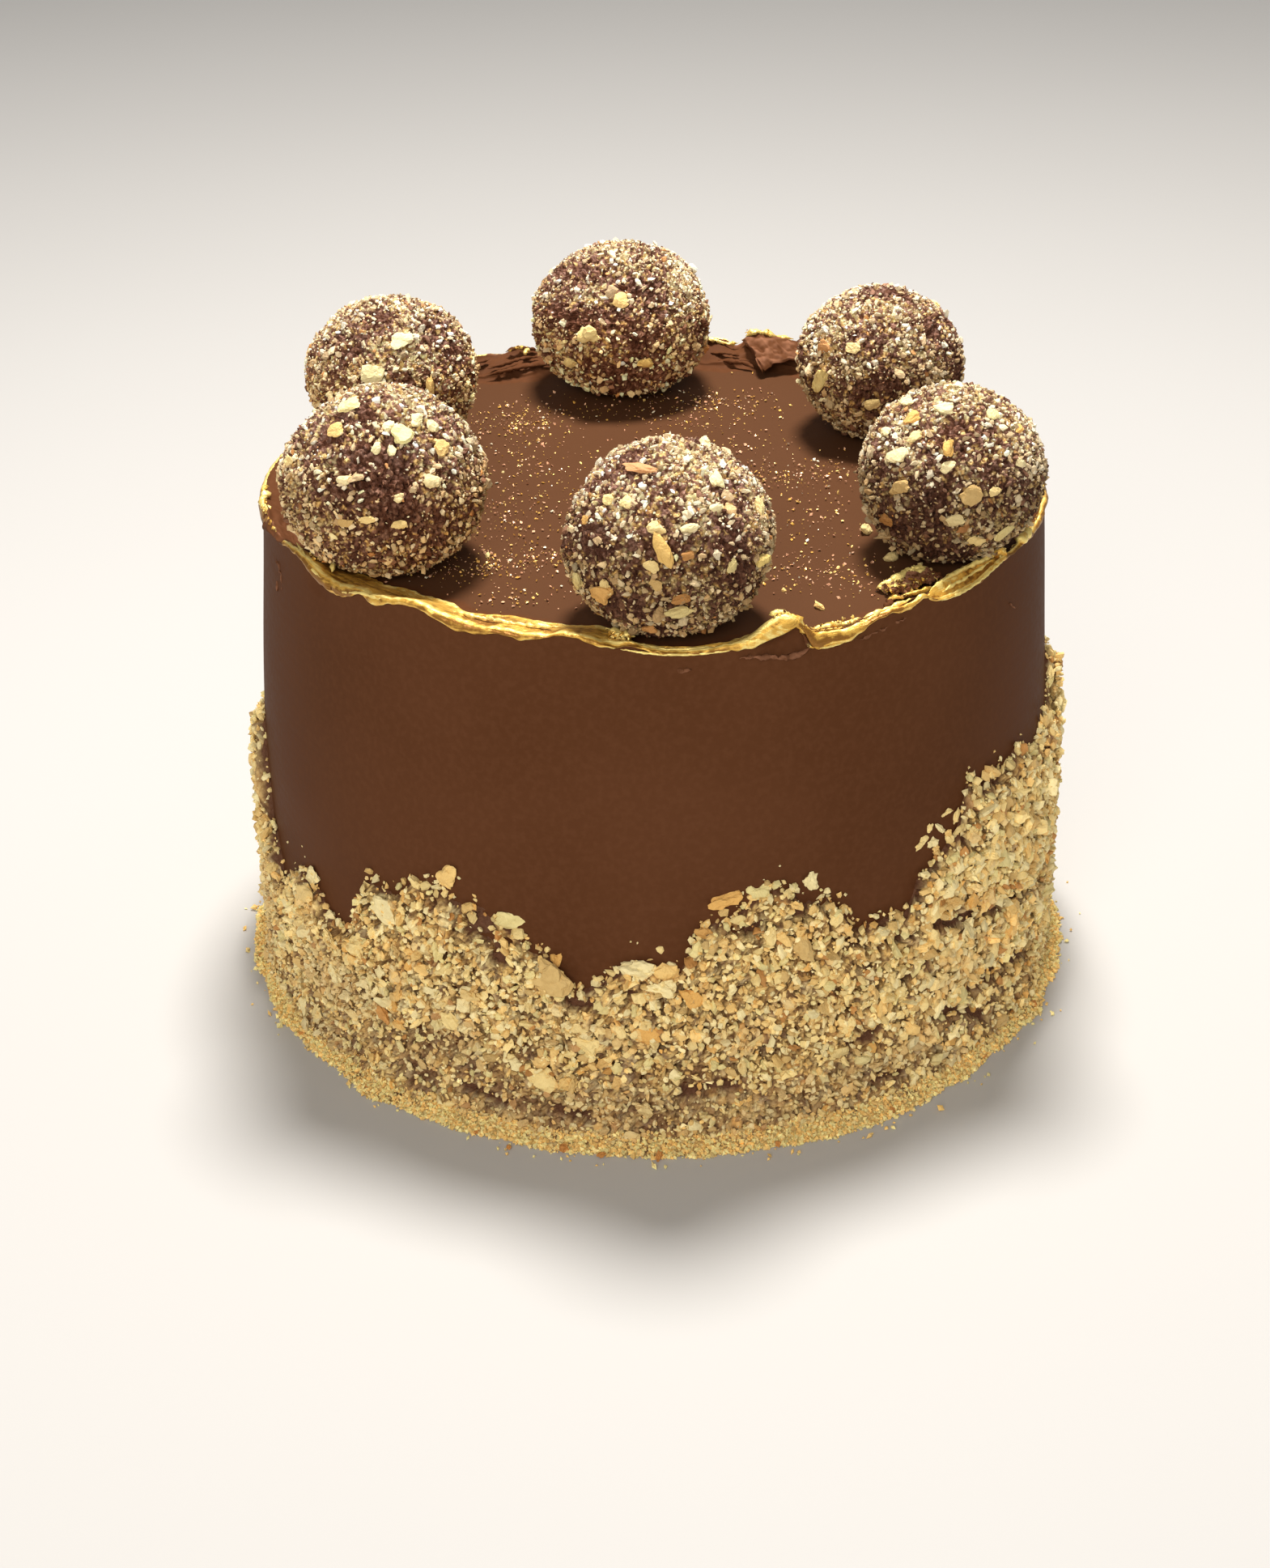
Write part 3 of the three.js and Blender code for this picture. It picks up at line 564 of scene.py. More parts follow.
# The gold runs from deep to bright with its tone: its brush streaks and patches, and painted shade in the lip's
# hollows and painted highlight on its crests and edges.
GOLD_DEEP, GOLD, GOLD_BRIGHT = rgb(150, 102, 36), rgb(231, 182, 80), rgb(255, 229, 138)
EDGE_HIGHLIGHT_FROM, EDGE_HIGHLIGHT_FULL = 0.6, 1.7  # tones at which plain cream begins to take the painted highlight of lit torn edges, and takes it in full
TOP_FROM, TOP_TONE = -0.3, -1.0  # and those towards the flat top's painted sheen, less red than the side
SCRAPER_MARKS = (0.03, 0.03, 0.6)  # marks to a millimetre, across, back and up
BRUSH_MARKS = (0.10 * MM, 1.1 * MM, 0.0)  # and in the gold, along it, across it and up
GILT_METAL, GILT_RELIEF = 0.42, 0.35  # how metallic the gold is, and how thick it lies
MEAL_RELIEF, PIT_RELIEF = 0.2, 0.3  # depths of the meal's grain and of the pits between its crumbs


class Shader:
    """A material's node tree with short ways to add what the materials below need."""

    def __init__(self, name):
        self.material = bpy.data.materials.new(name)
        self.material.use_nodes = True
        self.nodes = self.material.node_tree.nodes
        self.links = self.material.node_tree.links
        self.surface = self.nodes["Principled BSDF"]
        self.place = self.nodes.new("ShaderNodeTexCoord").outputs["Object"]

    def feed(self, socket, value):
        if isinstance(value, bpy.types.NodeSocket):
            self.links.new(value, socket)
        elif np.ndim(value):
            value = tuple(float(v) for v in value)
            socket.default_value = value if len(value) == len(socket.default_value) else (*value, 1.0)
        else:
            socket.default_value = value

    def set(self, **values):
        for name, value in values.items():
            self.feed(self.surface.inputs[name.replace("_", " ")], value)

    def add(self, kind, output, inputs, **settings):
        """A node with its settings and inputs. Gives one of its outputs."""
        node = self.nodes.new("ShaderNode" + kind)
        for name, value in settings.items():
            setattr(node, name, value)
        for socket, value in inputs.items():
            self.feed(node.inputs[socket], value)
        return node.outputs[output]

    def attribute(self, name, output="Fac"):
        return self.add("Attribute", output, {}, attribute_name=name)

    def scaled(self, vector, factors):
        return self.add("VectorMath", 0, {0: vector, 1: factors}, operation="MULTIPLY")

    def noise(self, size_mm, detail=2.0, roughness=0.5, vector=None):
        """Noise from 0 to 1 whose features are about size_mm across."""
        place = self.place if vector is None else vector
        inputs = {"Vector": place, "Scale": 1 / (size_mm * MM), "Detail": detail, "Roughness": roughness}
        return self.add("TexNoise", "Fac", inputs)

    def cells(self, size_mm):
        return self.add("TexVoronoi", "Distance", {"Vector": self.place, "Scale": 1 / (size_mm * MM)})

    def range(self, value, low, high, to_low=0.0, to_high=1.0):
        inputs = {"Value": value, "From Min": low, "From Max": high, "To Min": to_low, "To Max": to_high}
        return self.add("MapRange", "Result", inputs, interpolation_type="SMOOTHSTEP")

    def maths(self, operation, first, second):
        return self.add("Math", 0, {0: first, 1: second}, operation=operation)

    def mix(self, share, low, high, kind="MIX"):
        return self.add("Mix", 2, {0: share, 6: low, 7: high}, data_type="RGBA", blend_type=kind)

    def times(self, colour, factors):
        return self.mix(1.0, colour, factors, "MULTIPLY")

    def bump(self, height, depth_mm, under=None, strength=1.0):
        inputs = {"Distance": depth_mm * MM, "Strength": strength, "Height": height}
        if under is not None:
            inputs["Normal"] = under
        return self.add("Bump", "Normal", inputs)


def cream_material():
    """Smooth satin cream with faint scraper marks, and gold brushed where the attribute gilt is above 0. The
    attribute tone is painted light: it takes the gold from painted shade to painted highlight, and gives plain cream
    a painted highlight on lit torn edges above a set tone and the flat top's painted sheen below TOP_FROM."""
    shader = Shader("mocha_cream_gilt")
    tone = shader.attribute("tone")
    broad = shader.range(shader.noise(42), 0.3, 0.7)
    fine = shader.noise(1.3, detail=3)
    scraped = shader.noise(1, detail=3, vector=shader.scaled(shader.place, SCRAPER_MARKS))
    cream = shader.mix(broad, CREAM_DARK, CREAM_MID)
    cream = shader.mix(shader.range(fine, 0.35, 0.75, 0.0, 0.25), cream, CREAM_LIGHT)
    # painted highlight where torn edges catch the light
    cream = shader.mix(shader.range(tone, EDGE_HIGHLIGHT_FROM, EDGE_HIGHLIGHT_FULL, 0.0, 0.75), cream, CREAM_EDGE_HIGHLIGHT)
    # painted sheen on the flat top
    cream = shader.mix(shader.range(tone, TOP_TONE, TOP_FROM, 0.85, 0.0), cream, CREAM_TOP_SHEEN)

    brush = shader.scaled(shader.attribute("brush", "Vector"), BRUSH_MARKS)
    streaks = shader.noise(1, detail=4, roughness=0.6, vector=brush)
    patches = shader.noise(1.8, detail=4, roughness=0.65)
    # tone brings painted shade and painted highlight to the gold; the streaks and patches add its brushing
    level = shader.maths("ADD", tone, shader.range(streaks, 0.3, 0.7, -0.22, 0.22))
    level = shader.maths("ADD", level, shader.range(patches, 0.3, 0.7, -0.25, 0.22))
    gold = shader.mix(shader.range(level, 0.0, 0.5), GOLD_DEEP, GOLD)
    gold = shader.mix(shader.range(level, 0.55, 1.0), gold, GOLD_BRIGHT)

    fray = shader.noise(1.0, detail=4, roughness=0.65)
    ragged = shader.maths("MULTIPLY", shader.maths("SUBTRACT", fray, 0.5), 1.3)
    cover = shader.range(shader.maths("ADD", shader.attribute("gilt"), ragged), -0.08, 0.10)
    dull = shader.range(fine, 0.3, 0.7, 0.5, 0.58)
    thick = shader.maths("ADD", streaks, shader.maths("MULTIPLY", patches, 0.5))
    under = shader.bump(scraped, 0.12, strength=0.5)
    under = shader.bump(fine, 0.05, under, strength=0.5)
    shader.set(
        Base_Color=shader.mix(cover, cream, gold), Metallic=shader.maths("MULTIPLY", cover, GILT_METAL),
        Roughness=shader.maths("ADD", dull, shader.maths("MULTIPLY", cover, -0.14)),
        Specular_IOR_Level=shader.range(cover, 0.0, 1.0, 0.02, 0.4),
        Normal=shader.bump(shader.maths("MULTIPLY", thick, cover), GILT_RELIEF, under),
    )
    return shader.material


def nut_material(name, grain_mm=0.9, roughness=0.72, contrast=0.35):
    """Broken nut, coloured by the attribute shade, with a mealy broken surface."""
    shader = Shader(name)
    mottle = shader.noise(1.6, detail=3, roughness=0.6)
    meal = shader.noise(grain_mm * 0.5, detail=3, roughness=0.65)
    shade = shader.attribute("shade", "Color")
    dark, pale = shader.times(shade, (0.74, 0.66, 0.52)), shader.times(shade, (1.12, 1.12, 1.12))
    colour = shader.mix(shader.range(mottle, 0.35, 0.7, contrast, 0.0), shade, dark)
    shader.set(
        Base_Color=shader.mix(shader.range(meal, 0.5, 0.75, 0.0, 0.3), colour, pale), Specular_IOR_Level=0.35,
        Roughness=shader.range(meal, 0.3, 0.7, roughness - 0.08, roughness + 0.12),
        Normal=shader.bump(meal, 0.25, strength=0.9),
    )
    return shader.material


def meal_material(name, grain_mm, dark):
    """Packed meal coloured by shade, mottled within each crumb, with painted shade in its small pits."""
    shader = Shader(name)
    grains = shader.cells(grain_mm)
    meal = shader.noise(0.45, detail=3, roughness=0.7)
    mottle = shader.noise(1.1, detail=3, roughness=0.6)
    shade = shader.attribute("shade", "Color")
    # the darker colour is painted shade in the pits between the grains, and the mottling within each crumb
    pits = shader.times(shade, dark)
    colour = shader.mix(shader.range(grains, 0.42, 0.72, 0.0, 0.6), shade, pits)
    colour = shader.mix(shader.range(mottle, 0.5, 0.72, 0.0, 0.45), colour, pits)
    under = shader.bump(shader.maths("SUBTRACT", 1.0, grains), PIT_RELIEF)
    shader.set(
        Base_Color=colour, Roughness=shader.range(meal, 0.3, 0.7, 0.65, 0.88), Specular_IOR_Level=0.3,
        Normal=shader.bump(meal, MEAL_RELIEF, under),
    )
    return shader.material


def flake_material():
    """Tiny gold flakes, each with its own shade."""
    shader = Shader("gold_dust")
    glint = shader.noise(0.4, detail=1)
    shade = shader.attribute("shade", "Color")
    colour = shader.mix(shader.range(glint, 0.4, 0.6), shade, shader.times(shade, (1.25, 1.2, 1.1)))
    shader.set(Base_Color=colour, Metallic=0.25, Roughness=shader.range(glint, 0.3, 0.7, 0.25, 0.42))
    return shader.material


def floor_material():
    shader = Shader("studio_floor")
    colour = shader.mix(shader.noise(300, detail=1), (0.51, 0.502, 0.49), (0.53, 0.522, 0.51))
    shader.set(Base_Color=colour, Roughness=0.7, Specular_IOR_Level=0.2)
    return shader.material


# ---------------------------------------------------------------- the forms of the cake
SIDE_LEAN = (BASE_RADIUS - TOP_RADIUS) / (TOP_Z - TAPER_FROM)
LIP_RAGGED, LIP_LOBED = 1.3, 5.0  # sizes of the raggedness along the lip
LIP_REACH = 2.6  # how far below the lip its section starts
# Across the lip, from the side below it over the crest to the top: how gilt it is where the gold covers it,
# how gilt where there is only a thin crest of gold, and its tone, a painted light: shade under the roll and behind
# the crest, highlight on the crest and edges.
FULL_GILT = (NO_GILT, -2.6, -2.0, -0.7, 0.5, 1.3, 1.4, 1.5, 1.2, 1.0, 1.0, 0.7, -0.7, -2.5)
THIN_GILT = (NO_GILT, -2.6, -2.0, -1.2, 0.0, 0.5, 0.8, 0.9, -0.8, -1.6, -1.8, -2.0, -2.5, -2.5)
LIP_PAINTED_LIGHT = (0.0, 0.0, 0.0, 0.2, 0.6, 0.15, 0.3, 1.15, 0.3, 0.38, 0.4, 0.8, 0.2, 0.0)


def cream_radius(z):
    """Outside radius of the bare cream at a height."""
    lean = np.clip((z - TAPER_FROM) / (TOP_Z - TAPER_FROM), 0, 1)
    return blend(BASE_RADIUS, TOP_RADIUS, lean)


def nut_edge(turn):
    """Height of the upper edge of the nuts at angles."""
    angles, heights = np.array(NUT_EDGE, float).T
    turn = np.mod(turn, 360)
    after = np.searchsorted(angles, turn, side="right") % len(angles)
    before = (after - 1) % len(angles)
    share = np.mod(turn - angles[before], 360) / np.mod(angles[after] - angles[before], 360)
    return blend(heights[before], heights[after], smooth(share))


def cubic(share, low, low_slope, high, high_slope):
    """A smooth curve between two values, leaving and meeting them at slopes."""
    a = 2 * share**3 - 3 * share**2 + 1
    b = share**3 - 2 * share**2 + share
    c = -2 * share**3 + 3 * share**2
    d = share**3 - share**2
    return a * low + b * low_slope + c * high + d * high_slope


def round_curve(angles, values, turn):
    """Smooth curves round the cake through values, of shape (rows, columns), at rising angles."""
    angles = np.concatenate((angles[-2:] - 360, angles, angles[:2] + 360))
    values = np.concatenate((values[-2:], values, values[:2]))
    slopes = np.gradient(values, angles, axis=0)
    turn = np.mod(turn, 360)
    after = np.clip(np.searchsorted(angles, turn, side="right"), 1, len(angles) - 1)
    before = after - 1
    span = (angles[after] - angles[before])[:, None]
    share = (turn - angles[before])[:, None] / span
    return cubic(share, values[before], span * slopes[before], values[after], span * slopes[after])


def through(controls, rows):
    """Smooth curves through control values of shape (controls, ...), at evenly spaced rows."""
    place = np.linspace(0, len(controls) - 1, rows)
    start = np.minimum(place.astype(int), len(controls) - 2)
    share = (place - start).reshape((-1,) + (1,) * (controls.ndim - 1))
    pick = [controls[np.clip(start + k, 0, len(controls) - 1)] for k in (-1, 0, 1, 2)]
    return cubic(share, pick[1], (pick[2] - pick[0]) / 2, pick[2], (pick[3] - pick[1]) / 2)


def turn_from(middle, turn):
    """How far angles are from a middle one, the shorter way round."""
    return np.mod(turn - middle + 180, 360) - 180


def swells(turn, rows):
    """The sum of swells round the cake, each 1 at its middle angle and easing to 0 at its reach, from rows of
    middle angle, reach and strength."""
    total = 0
    for middle, reach, strength in rows:
        apart = np.abs(turn_from(middle, turn))
        total = total + strength * np.where(apart < reach, np.cos(np.pi * apart / (2 * reach)) ** 2, 0)
    return total


def lip_section(turn):
    """Control values across the lip at angles, from the side below it over the crest to the top: offsets from
    the top edge outward and up, how gilt it is, and its tone, a painted light from painted shade under the roll to
    painted highlight on the crest."""
    rows = np.array(LIP, float)
    edge, crest, inner, sill = round_curve(rows[:, 0], rows[:, 1:], turn).T
    ring = on_circle(turn, TOP_RADIUS, 0)
    ragged, lobed = wobble(ring, LIP_RAGGED), wobble(ring, LIP_LOBED, 7.3)
    edge = edge + 0.35 * ragged + 0.2 * lobed
    crest = np.maximum(crest, edge + 0.35) + 0.3 * wobble(ring, 0.9, 3.7)
    inner = inner - TOP_RADIUS + 0.9 * ragged + 0.4 * lobed
    sill = sill + 0.15 * ragged
    cup, groove = swells(turn, CUPS), swells(turn, GROOVES)
    tall, wide = crest - edge, -inner - 0.35
    out = 0.32 + 0.2 * np.clip(tall, 0, 2.5) + 0.15 * lobed
    low = np.minimum(edge, 0) - LIP_REACH
    side = -SIDE_LEAN * np.minimum(low, 0)
    outward = np.stack((
        side, 0.5 * side - 0.6 * cup, 0.04 - cup, 0.1 - 0.6 * cup, 0.8 * out, out, 0.45 * out, 0 * out - 0.35,
        -0.35 - 0.14 * wide, -0.35 - 0.5 * wide, -0.35 - 0.85 * wide, inner, inner - 0.5, inner - 1.7,
    ))
    up = np.stack((
        low, blend(low, edge, 0.45), edge - 0.4, edge - 0.1, edge + 0.02, edge + 0.4 * tall, edge + 0.8 * tall,
        crest, crest - 0.22 - groove, blend(crest, sill, 0.5) - 0.7 * groove, sill + 0.08, sill, 0.4 * sill,
        0 * sill,
    ))
    angles, shares, levels = np.array(GILDING, float).T
    whole = np.interp(turn % 360, angles, shares, period=360)
    brighter = np.interp(turn % 360, angles, levels, period=360)
    thin = 0.5 * lobed - 0.35
    gilt = np.stack([blend(least + thin, full, whole) for full, least in zip(FULL_GILT, THIN_GILT)])
    return outward, up, gilt, np.stack([level + brighter for level in LIP_PAINTED_LIGHT])


# ---------------------------------------------------------------- the cream coat
SIDE_ROWS, LIP_ROWS, TOP_ROWS = 22, 42, 18
FINE_FROM, FINE_TO = 190, 354  # the stretch whose columns lie closest
FINE_COLUMNS, COARSE_COLUMNS = 690, 330
MM_PER_DEGREE = 1.4  # length round the lip, for its streaks, pleats and brush marks
STREAK_LENGTH, STREAKS_ACROSS, FOLD_RISE = 7, 13, 0.12  # streaks in the gold, and folds between them
PLEAT_LENGTH, PLEAT_WIDTH, PLEAT_RISE = 6, 1.5, 0.9  # pleats where the lip is crumpled
SIDE_WAVE, SIDE_SWELL = 38, 0.7  # unevenness of the scraped side: its size and its depth
TOP_WAVE, TOP_SWELL = 27, 0.7  # and of the top
STRIP_STEP, STRIP_SIDES = 0.3, 10  # distance between the rings of a torn strip, and its sides
SHEET_ROWS, SHEET_COLUMNS = 44, 64
STRIP_ROUGH, STRIP_FINE = 0.9, 1.1  # how far its surface strays, broadly and finely
STRIP_TAPER, STRIP_TIP, LEAST_RINGS = 5, 0.08, 8
SHEET_FOLDS, SHEET_LENGTH, SHEET_WIDTH = 9, 16, 12  # folds across a torn sheet, and its size for brush marks
SHEET_RIM, SHEET_FRAY = 0.08, 5  # the thin share along its edges, and how far they stray, in steps
GILT_PATCHY, TONE_PATCHY, TONE_RISE = 1.6, 0.9, 0.2  # how patchy the gold and the tone of torn cream are
CRUMBLED_SIZES, CRUMBLED_TONES = (0.45, 1.25), (0.1, 1.5)
CRUMBLED_RISE, CRUMBLED_GILT = 0.35, 0.45  # how much the crumbs' heights and gold vary
CRUMBLED_SEED = 57


def coat_turns():
    """Angles of the columns of the coat."""
    fine = np.linspace(FINE_FROM, FINE_TO, FINE_COLUMNS, endpoint=False)
    return np.concatenate((fine, np.linspace(FINE_TO, FINE_FROM + 360, COARSE_COLUMNS, endpoint=False)))


def rough_lip(turn):
    """Radius, height, gilt and tone of the rows of the lip, with its streaks, crumpled folds and pleats."""
    outward, up, gilt, tone = (through(controls, LIP_ROWS) for controls in lip_section(turn))
    radius, z = TOP_RADIUS + outward, TOP_Z + up
    share = np.linspace(0, 1, LIP_ROWS)[:, None]
    points = on_circle(turn[None], radius, z)
    strength = np.sin(np.pi * share) ** 0.6 * smooth((share - 0.16) / 0.12)
    along = np.broadcast_to(turn * MM_PER_DEGREE, radius.shape)
    streak = wobble(np.stack((along / STREAK_LENGTH, share * STREAKS_ACROSS + 0 * along, 0 * along), axis=-1), 1)
    crumple = wobble(points, 1.1)
    fold = 0.5 - np.abs(streak) * 4
    z = z + strength * (0.22 * streak + FOLD_RISE * fold + 0.3 * crumple)
    radius = radius + strength * 0.3 * wobble(points, 1.5, 8.8)
    # painted light that follows the relief: the tone rises where streaks, crumples and folds stand up and falls
    # where they dip
    tone = tone + strength * (0.6 * streak + 0.65 * crumple + 0.2 * fold)
    ruffle = swells(turn, RUFFLES)[None]
    pleat_place = np.stack((along / PLEAT_LENGTH, radius / PLEAT_WIDTH, z / PLEAT_WIDTH), axis=-1)
    pleats = 1 - 4 * np.abs(wobble(pleat_place, 1.3, 3.1))
    z = z + strength * ruffle * (PLEAT_RISE * pleats - 0.3 + 0.8 * wobble(points, 1.9, 5.1))
    radius = radius + strength * ruffle * 1.1 * wobble(points, 2.7, 9.7)
    gilt = gilt - 1.1 * ruffle * smooth(wobble(points, 1.2, 2.4) / 0.2)
    return radius, z, gilt, tone


def cream_coat(material):
    """The smooth side, the ragged lip and the flat top, closed underneath."""
    turn = coat_turns()
    lip_r, lip_z, lip_gilt, lip_tone = rough_lip(turn)
    side_share = np.linspace(0, 1, SIDE_ROWS + 1)[:-1, None]
    side_z = side_share * lip_z[0]
    side_r = cream_radius(side_z)
    wave = wobble(on_circle(turn[None], side_r, side_z), SIDE_WAVE)
    side_r = side_r + SIDE_SWELL * wave * np.sin(np.pi * side_share)
    top_share = np.linspace(0, 1, TOP_ROWS + 1)[1:, None] ** 1.15
    top_r = blend(lip_r[-1], 0.4, top_share)
    level = wobble(on_circle(turn[None], top_r, 0 * top_r), TOP_WAVE, 1.7)
    top_z = lip_z[-1] + TOP_SWELL * level * smooth(top_share * 6)
    base_r = np.stack((0.02 * side_r[0], 0.5 * side_r[0]))

    parts = (
        (base_r, 0, NO_GILT, 0), (side_r, side_z, NO_GILT, 0), (lip_r, lip_z, lip_gilt, lip_tone),
        (top_r, top_z, NO_GILT, TOP_TONE),
    )
    radius, height, gilt, tone = (
        np.concatenate([np.broadcast_to(part[k], part[0].shape) for part in parts]) for k in range(4)
    )
    points = on_circle(turn[None], radius, height).reshape(-1, 3)
    points = np.vstack((points, (0, 0, 0), (0, 0, height[-1].mean())))
    across = np.cumsum(np.hypot(np.diff(radius, axis=0, prepend=0), np.diff(height, axis=0, prepend=0)), axis=0)
    along = np.broadcast_to(turn * MM_PER_DEGREE, radius.shape)
    brush = np.stack((along, across, 0 * radius), axis=-1).reshape(-1, 3)
    return cream_piece(
        "cream_coat", points, closed_faces(*radius.shape), np.append(gilt, (NO_GILT, NO_GILT)),
        np.append(tone, (0, TOP_TONE)), np.vstack((brush, brush[-2:])), material
    )


def strip(path, wide, tall, wander):
    """A torn strip of cream along a path of points: its points, its faces and the place along and around it."""
    length = np.linalg.norm(np.diff(path, axis=0), axis=1).sum()
    rings = max(LEAST_RINGS, int(length / STRIP_STEP))
    middle = through(path, rings)
    ahead = unit(np.gradient(middle, axis=0))
    side = unit(np.cross((0.0, 0.0, 1.0), ahead))
    up = np.cross(ahead, side)
    share = np.linspace(0, 1, rings)
    girth = np.clip(np.minimum(share, 1 - share) * STRIP_TAPER, STRIP_TIP, 1) ** 0.8
    girth = girth * (1 + 3.2 * wander * wobble(middle, 0.8, 4.2))
    around = np.arange(STRIP_SIDES) * 2 * math.pi / STRIP_SIDES
    across = np.cos(around)[None, :, None] * side[:, None] * wide / 2
    across = across + np.sin(around)[None, :, None] * up[:, None] * tall / 2
    points = middle[:, None] + across * girth[:, None, None]
    stray, finer = wobbles(points, 1.0, (1.2, 5.7, 9.4)), wobbles(points, 0.5, (2.2, 6.7, 3.4))
    points = points + wander * (STRIP_ROUGH * stray + STRIP_FINE * finer)
    along = np.broadcast_to((share * length)[:, None], points.shape[:2])
    brush = np.stack((along, np.broadcast_to(around * (wide + tall) / 4, along.shape), 0 * along), axis=-1)
    points = np.vstack((points.reshape(-1, 3), middle[0], middle[-1]))
    brush = np.vstack((brush.reshape(-1, 3), (0, 0, 0), (length, 0, 0)))
    return points, closed_faces(rings, STRIP_SIDES), brush


def torn_strips(material):
    """All torn strips of the lip and the smears on the side, as one piece."""
    jobs = [(over_top(path), *rest) for path, *rest in STRIPS]
    for path, tall, deep in SMEARS:
        turn, below = np.array(path, float).T
        z = TOP_Z - below
        jobs.append((on_circle(turn, cream_radius(z) + SMEAR_LIFT, z), deep, tall, NO_GILT, SMEAR_HIGHLIGHT_TONE, SMEAR_STRAY))
    parts = []
    for path, wide, tall, gilt, tone, wander in jobs:
        points, faces, brush = strip(path, wide, tall, wander)
        gilt = gilt + GILT_PATCHY * wobble(points, 1.4, 7.7)
        tone = tone + TONE_RISE + TONE_PATCHY * wobble(points, 0.7, 8.7)
        parts.append((points, faces, gilt, tone, brush))
    return cream_piece("torn_strips", *join(parts), material)


def sheet(grid, thick, gilts, tone, depth):
    """A thin torn sheet through a grid of places, with folds and ragged edges: its points, faces, gilt, tone
    and brush."""
    rows, columns = SHEET_ROWS, SHEET_COLUMNS
    middle = through(np.array([over_top(row) for row in grid]), rows)
    middle = np.swapaxes(through(np.swapaxes(middle, 0, 1), columns), 0, 1)
    down, across = np.gradient(middle, axis=0), np.gradient(middle, axis=1)
    normal = unit(np.cross(down, across))
    normal *= np.sign(normal[..., 2:].mean())
    row, column = np.meshgrid(np.linspace(0, 1, rows), np.linspace(0, 1, columns), indexing="ij")
    fold_place = np.stack((column * SHEET_FOLDS - row * 3, row * 1.6, 0 * row), axis=-1)
    folds = 1 - 4 * np.abs(wobble(fold_place, 1.0, 6.3))
    rough = wobble(middle, 1.0, 2.8)
    lift = depth * folds + 0.8 * depth * rough + 0.25 * wobble(middle, 0.5, 1.8)
    middle = middle + normal * lift[..., None] * (0.35 + 0.65 * smooth(row * 2)[..., None])
    ragged = wobbles(middle, 1.1, (3.3, 7.9))
    edge = smooth((np.maximum(row, np.abs(column - 0.5) * 2) - 0.75) / 0.25)
    middle = middle + edge[..., None] * SHEET_FRAY * (ragged[..., :1] * down + ragged[..., 1:] * across)
    rim = np.minimum.reduce((row, 1 - row, column, 1 - column))
    half = thick * (0.2 + 0.8 * smooth(rim / SHEET_RIM))[..., None] / 2
    points = np.concatenate(((middle + normal * half).reshape(-1, 3), (middle - normal * half).reshape(-1, 3)))
    index = np.arange(rows * columns).reshape(rows, columns)
    quads = np.stack((index[:-1, :-1], index[1:, :-1], index[1:, 1:], index[:-1, 1:]), axis=-1).reshape(-1, 4)
    ring = [*index[0], *index[1:, -1], *index[-1, -2::-1], *index[-2:0:-1, 0]]
    ring = [int(corner) for corner in ring]
    under = rows * columns
    faces = quads.tolist() + (quads[:, ::-1] + under).tolist()
    faces += [[a, b, b + under, a + under] for a, b in zip(ring, ring[1:] + ring[:1])]
    facing = np.cross(points[quads[0, 1]] - points[quads[0, 0]], points[quads[0, 2]] - points[quads[0, 0]])
    if np.dot(facing, normal[0, 0]) < 0:
        faces = [face[::-1] for face in faces]
    gilt = np.interp(row, np.linspace(0, 1, len(gilts)), gilts) + GILT_PATCHY * wobble(middle, 1.8, 5.5)
    # painted light that follows the lift: the tone rises on the crests of the folds and where the sheet stands up
    tones = tone + 0.5 * depth * folds + 1.2 * rough
    brush = np.stack((column * SHEET_LENGTH, row * SHEET_WIDTH, 0 * row), axis=-1).reshape(-1, 3)
    return points, faces, np.tile(gilt.ravel(), 2), np.tile(tones.ravel(), 2), np.tile(brush, (2, 1))


def torn_sheets(material):
    """All torn sheets as one piece."""
    return cream_piece("torn_sheets", *join([sheet(*spec) for spec in SHEETS]), material)


def crumbled_gold(material):
    """Broken crumbs of gilt cream where the lip is torn."""
    rng = np.random.default_rng(CRUMBLED_SEED)
    rows = []
    for angle, radius, up, reach, across, count, size, gilt in CRUMBLED:
        turn = angle + reach * rng.uniform(-1, 1, count)
        out = radius + across * rng.uniform(-1, 1, count)
        places = on_circle(turn, out, TOP_Z + up + CRUMBLED_RISE * rng.normal(size=count))
        sizes = size * rng.uniform(*CRUMBLED_SIZES, count)
        rows.append((places, sizes, gilt + CRUMBLED_GILT * rng.normal(size=count)))
    places, sizes, gilts = map(np.concatenate, zip(*rows))
    points, faces, per_piece = broken_pieces(
        BIT, rng, places, upright(len(places)), sizes, flatness=0.5, cuts=3, tilt=0.8, jag=0.3
    )
    gilt, tone = (np.repeat(own, per_piece) for own in (gilts, rng.uniform(*CRUMBLED_TONES, len(places))))
    return cream_piece("crumbled_gold", points, faces, gilt, tone, points, material, shade_smooth=False)


# ---------------------------------------------------------------- the nuts on the side
NUT_PALE, NUT_CREAM, NUT_TAN = rgb(253, 236, 178), rgb(252, 226, 156), rgb(250, 211, 134)
NUT_GREEN, NUT_ORANGE, NUT_BROWN = rgb(238, 222, 156), rgb(238, 186, 104), rgb(198, 144, 80)
NUT_OLIVE, NUT_MEAL, NUT_GREY = rgb(220, 186, 120), rgb(240, 203, 134), rgb(208, 184, 142)
TOAST, TOAST_DARK, GRAIN_BROWN = rgb(255, 238, 164), rgb(255, 212, 128), rgb(208, 144, 76)
BED_MAUVE, BED_LOW = rgb(126, 86, 66), rgb(104, 68, 46)  # cream between the crumbs, and cream in the deepest gaps that also serves as painted shade in the crevices
LOW_MAUVE = 0.5  # how much of it shows low on the side
SIDE_ARC = math.radians(BASE_RADIUS)  # length of a degree round the side

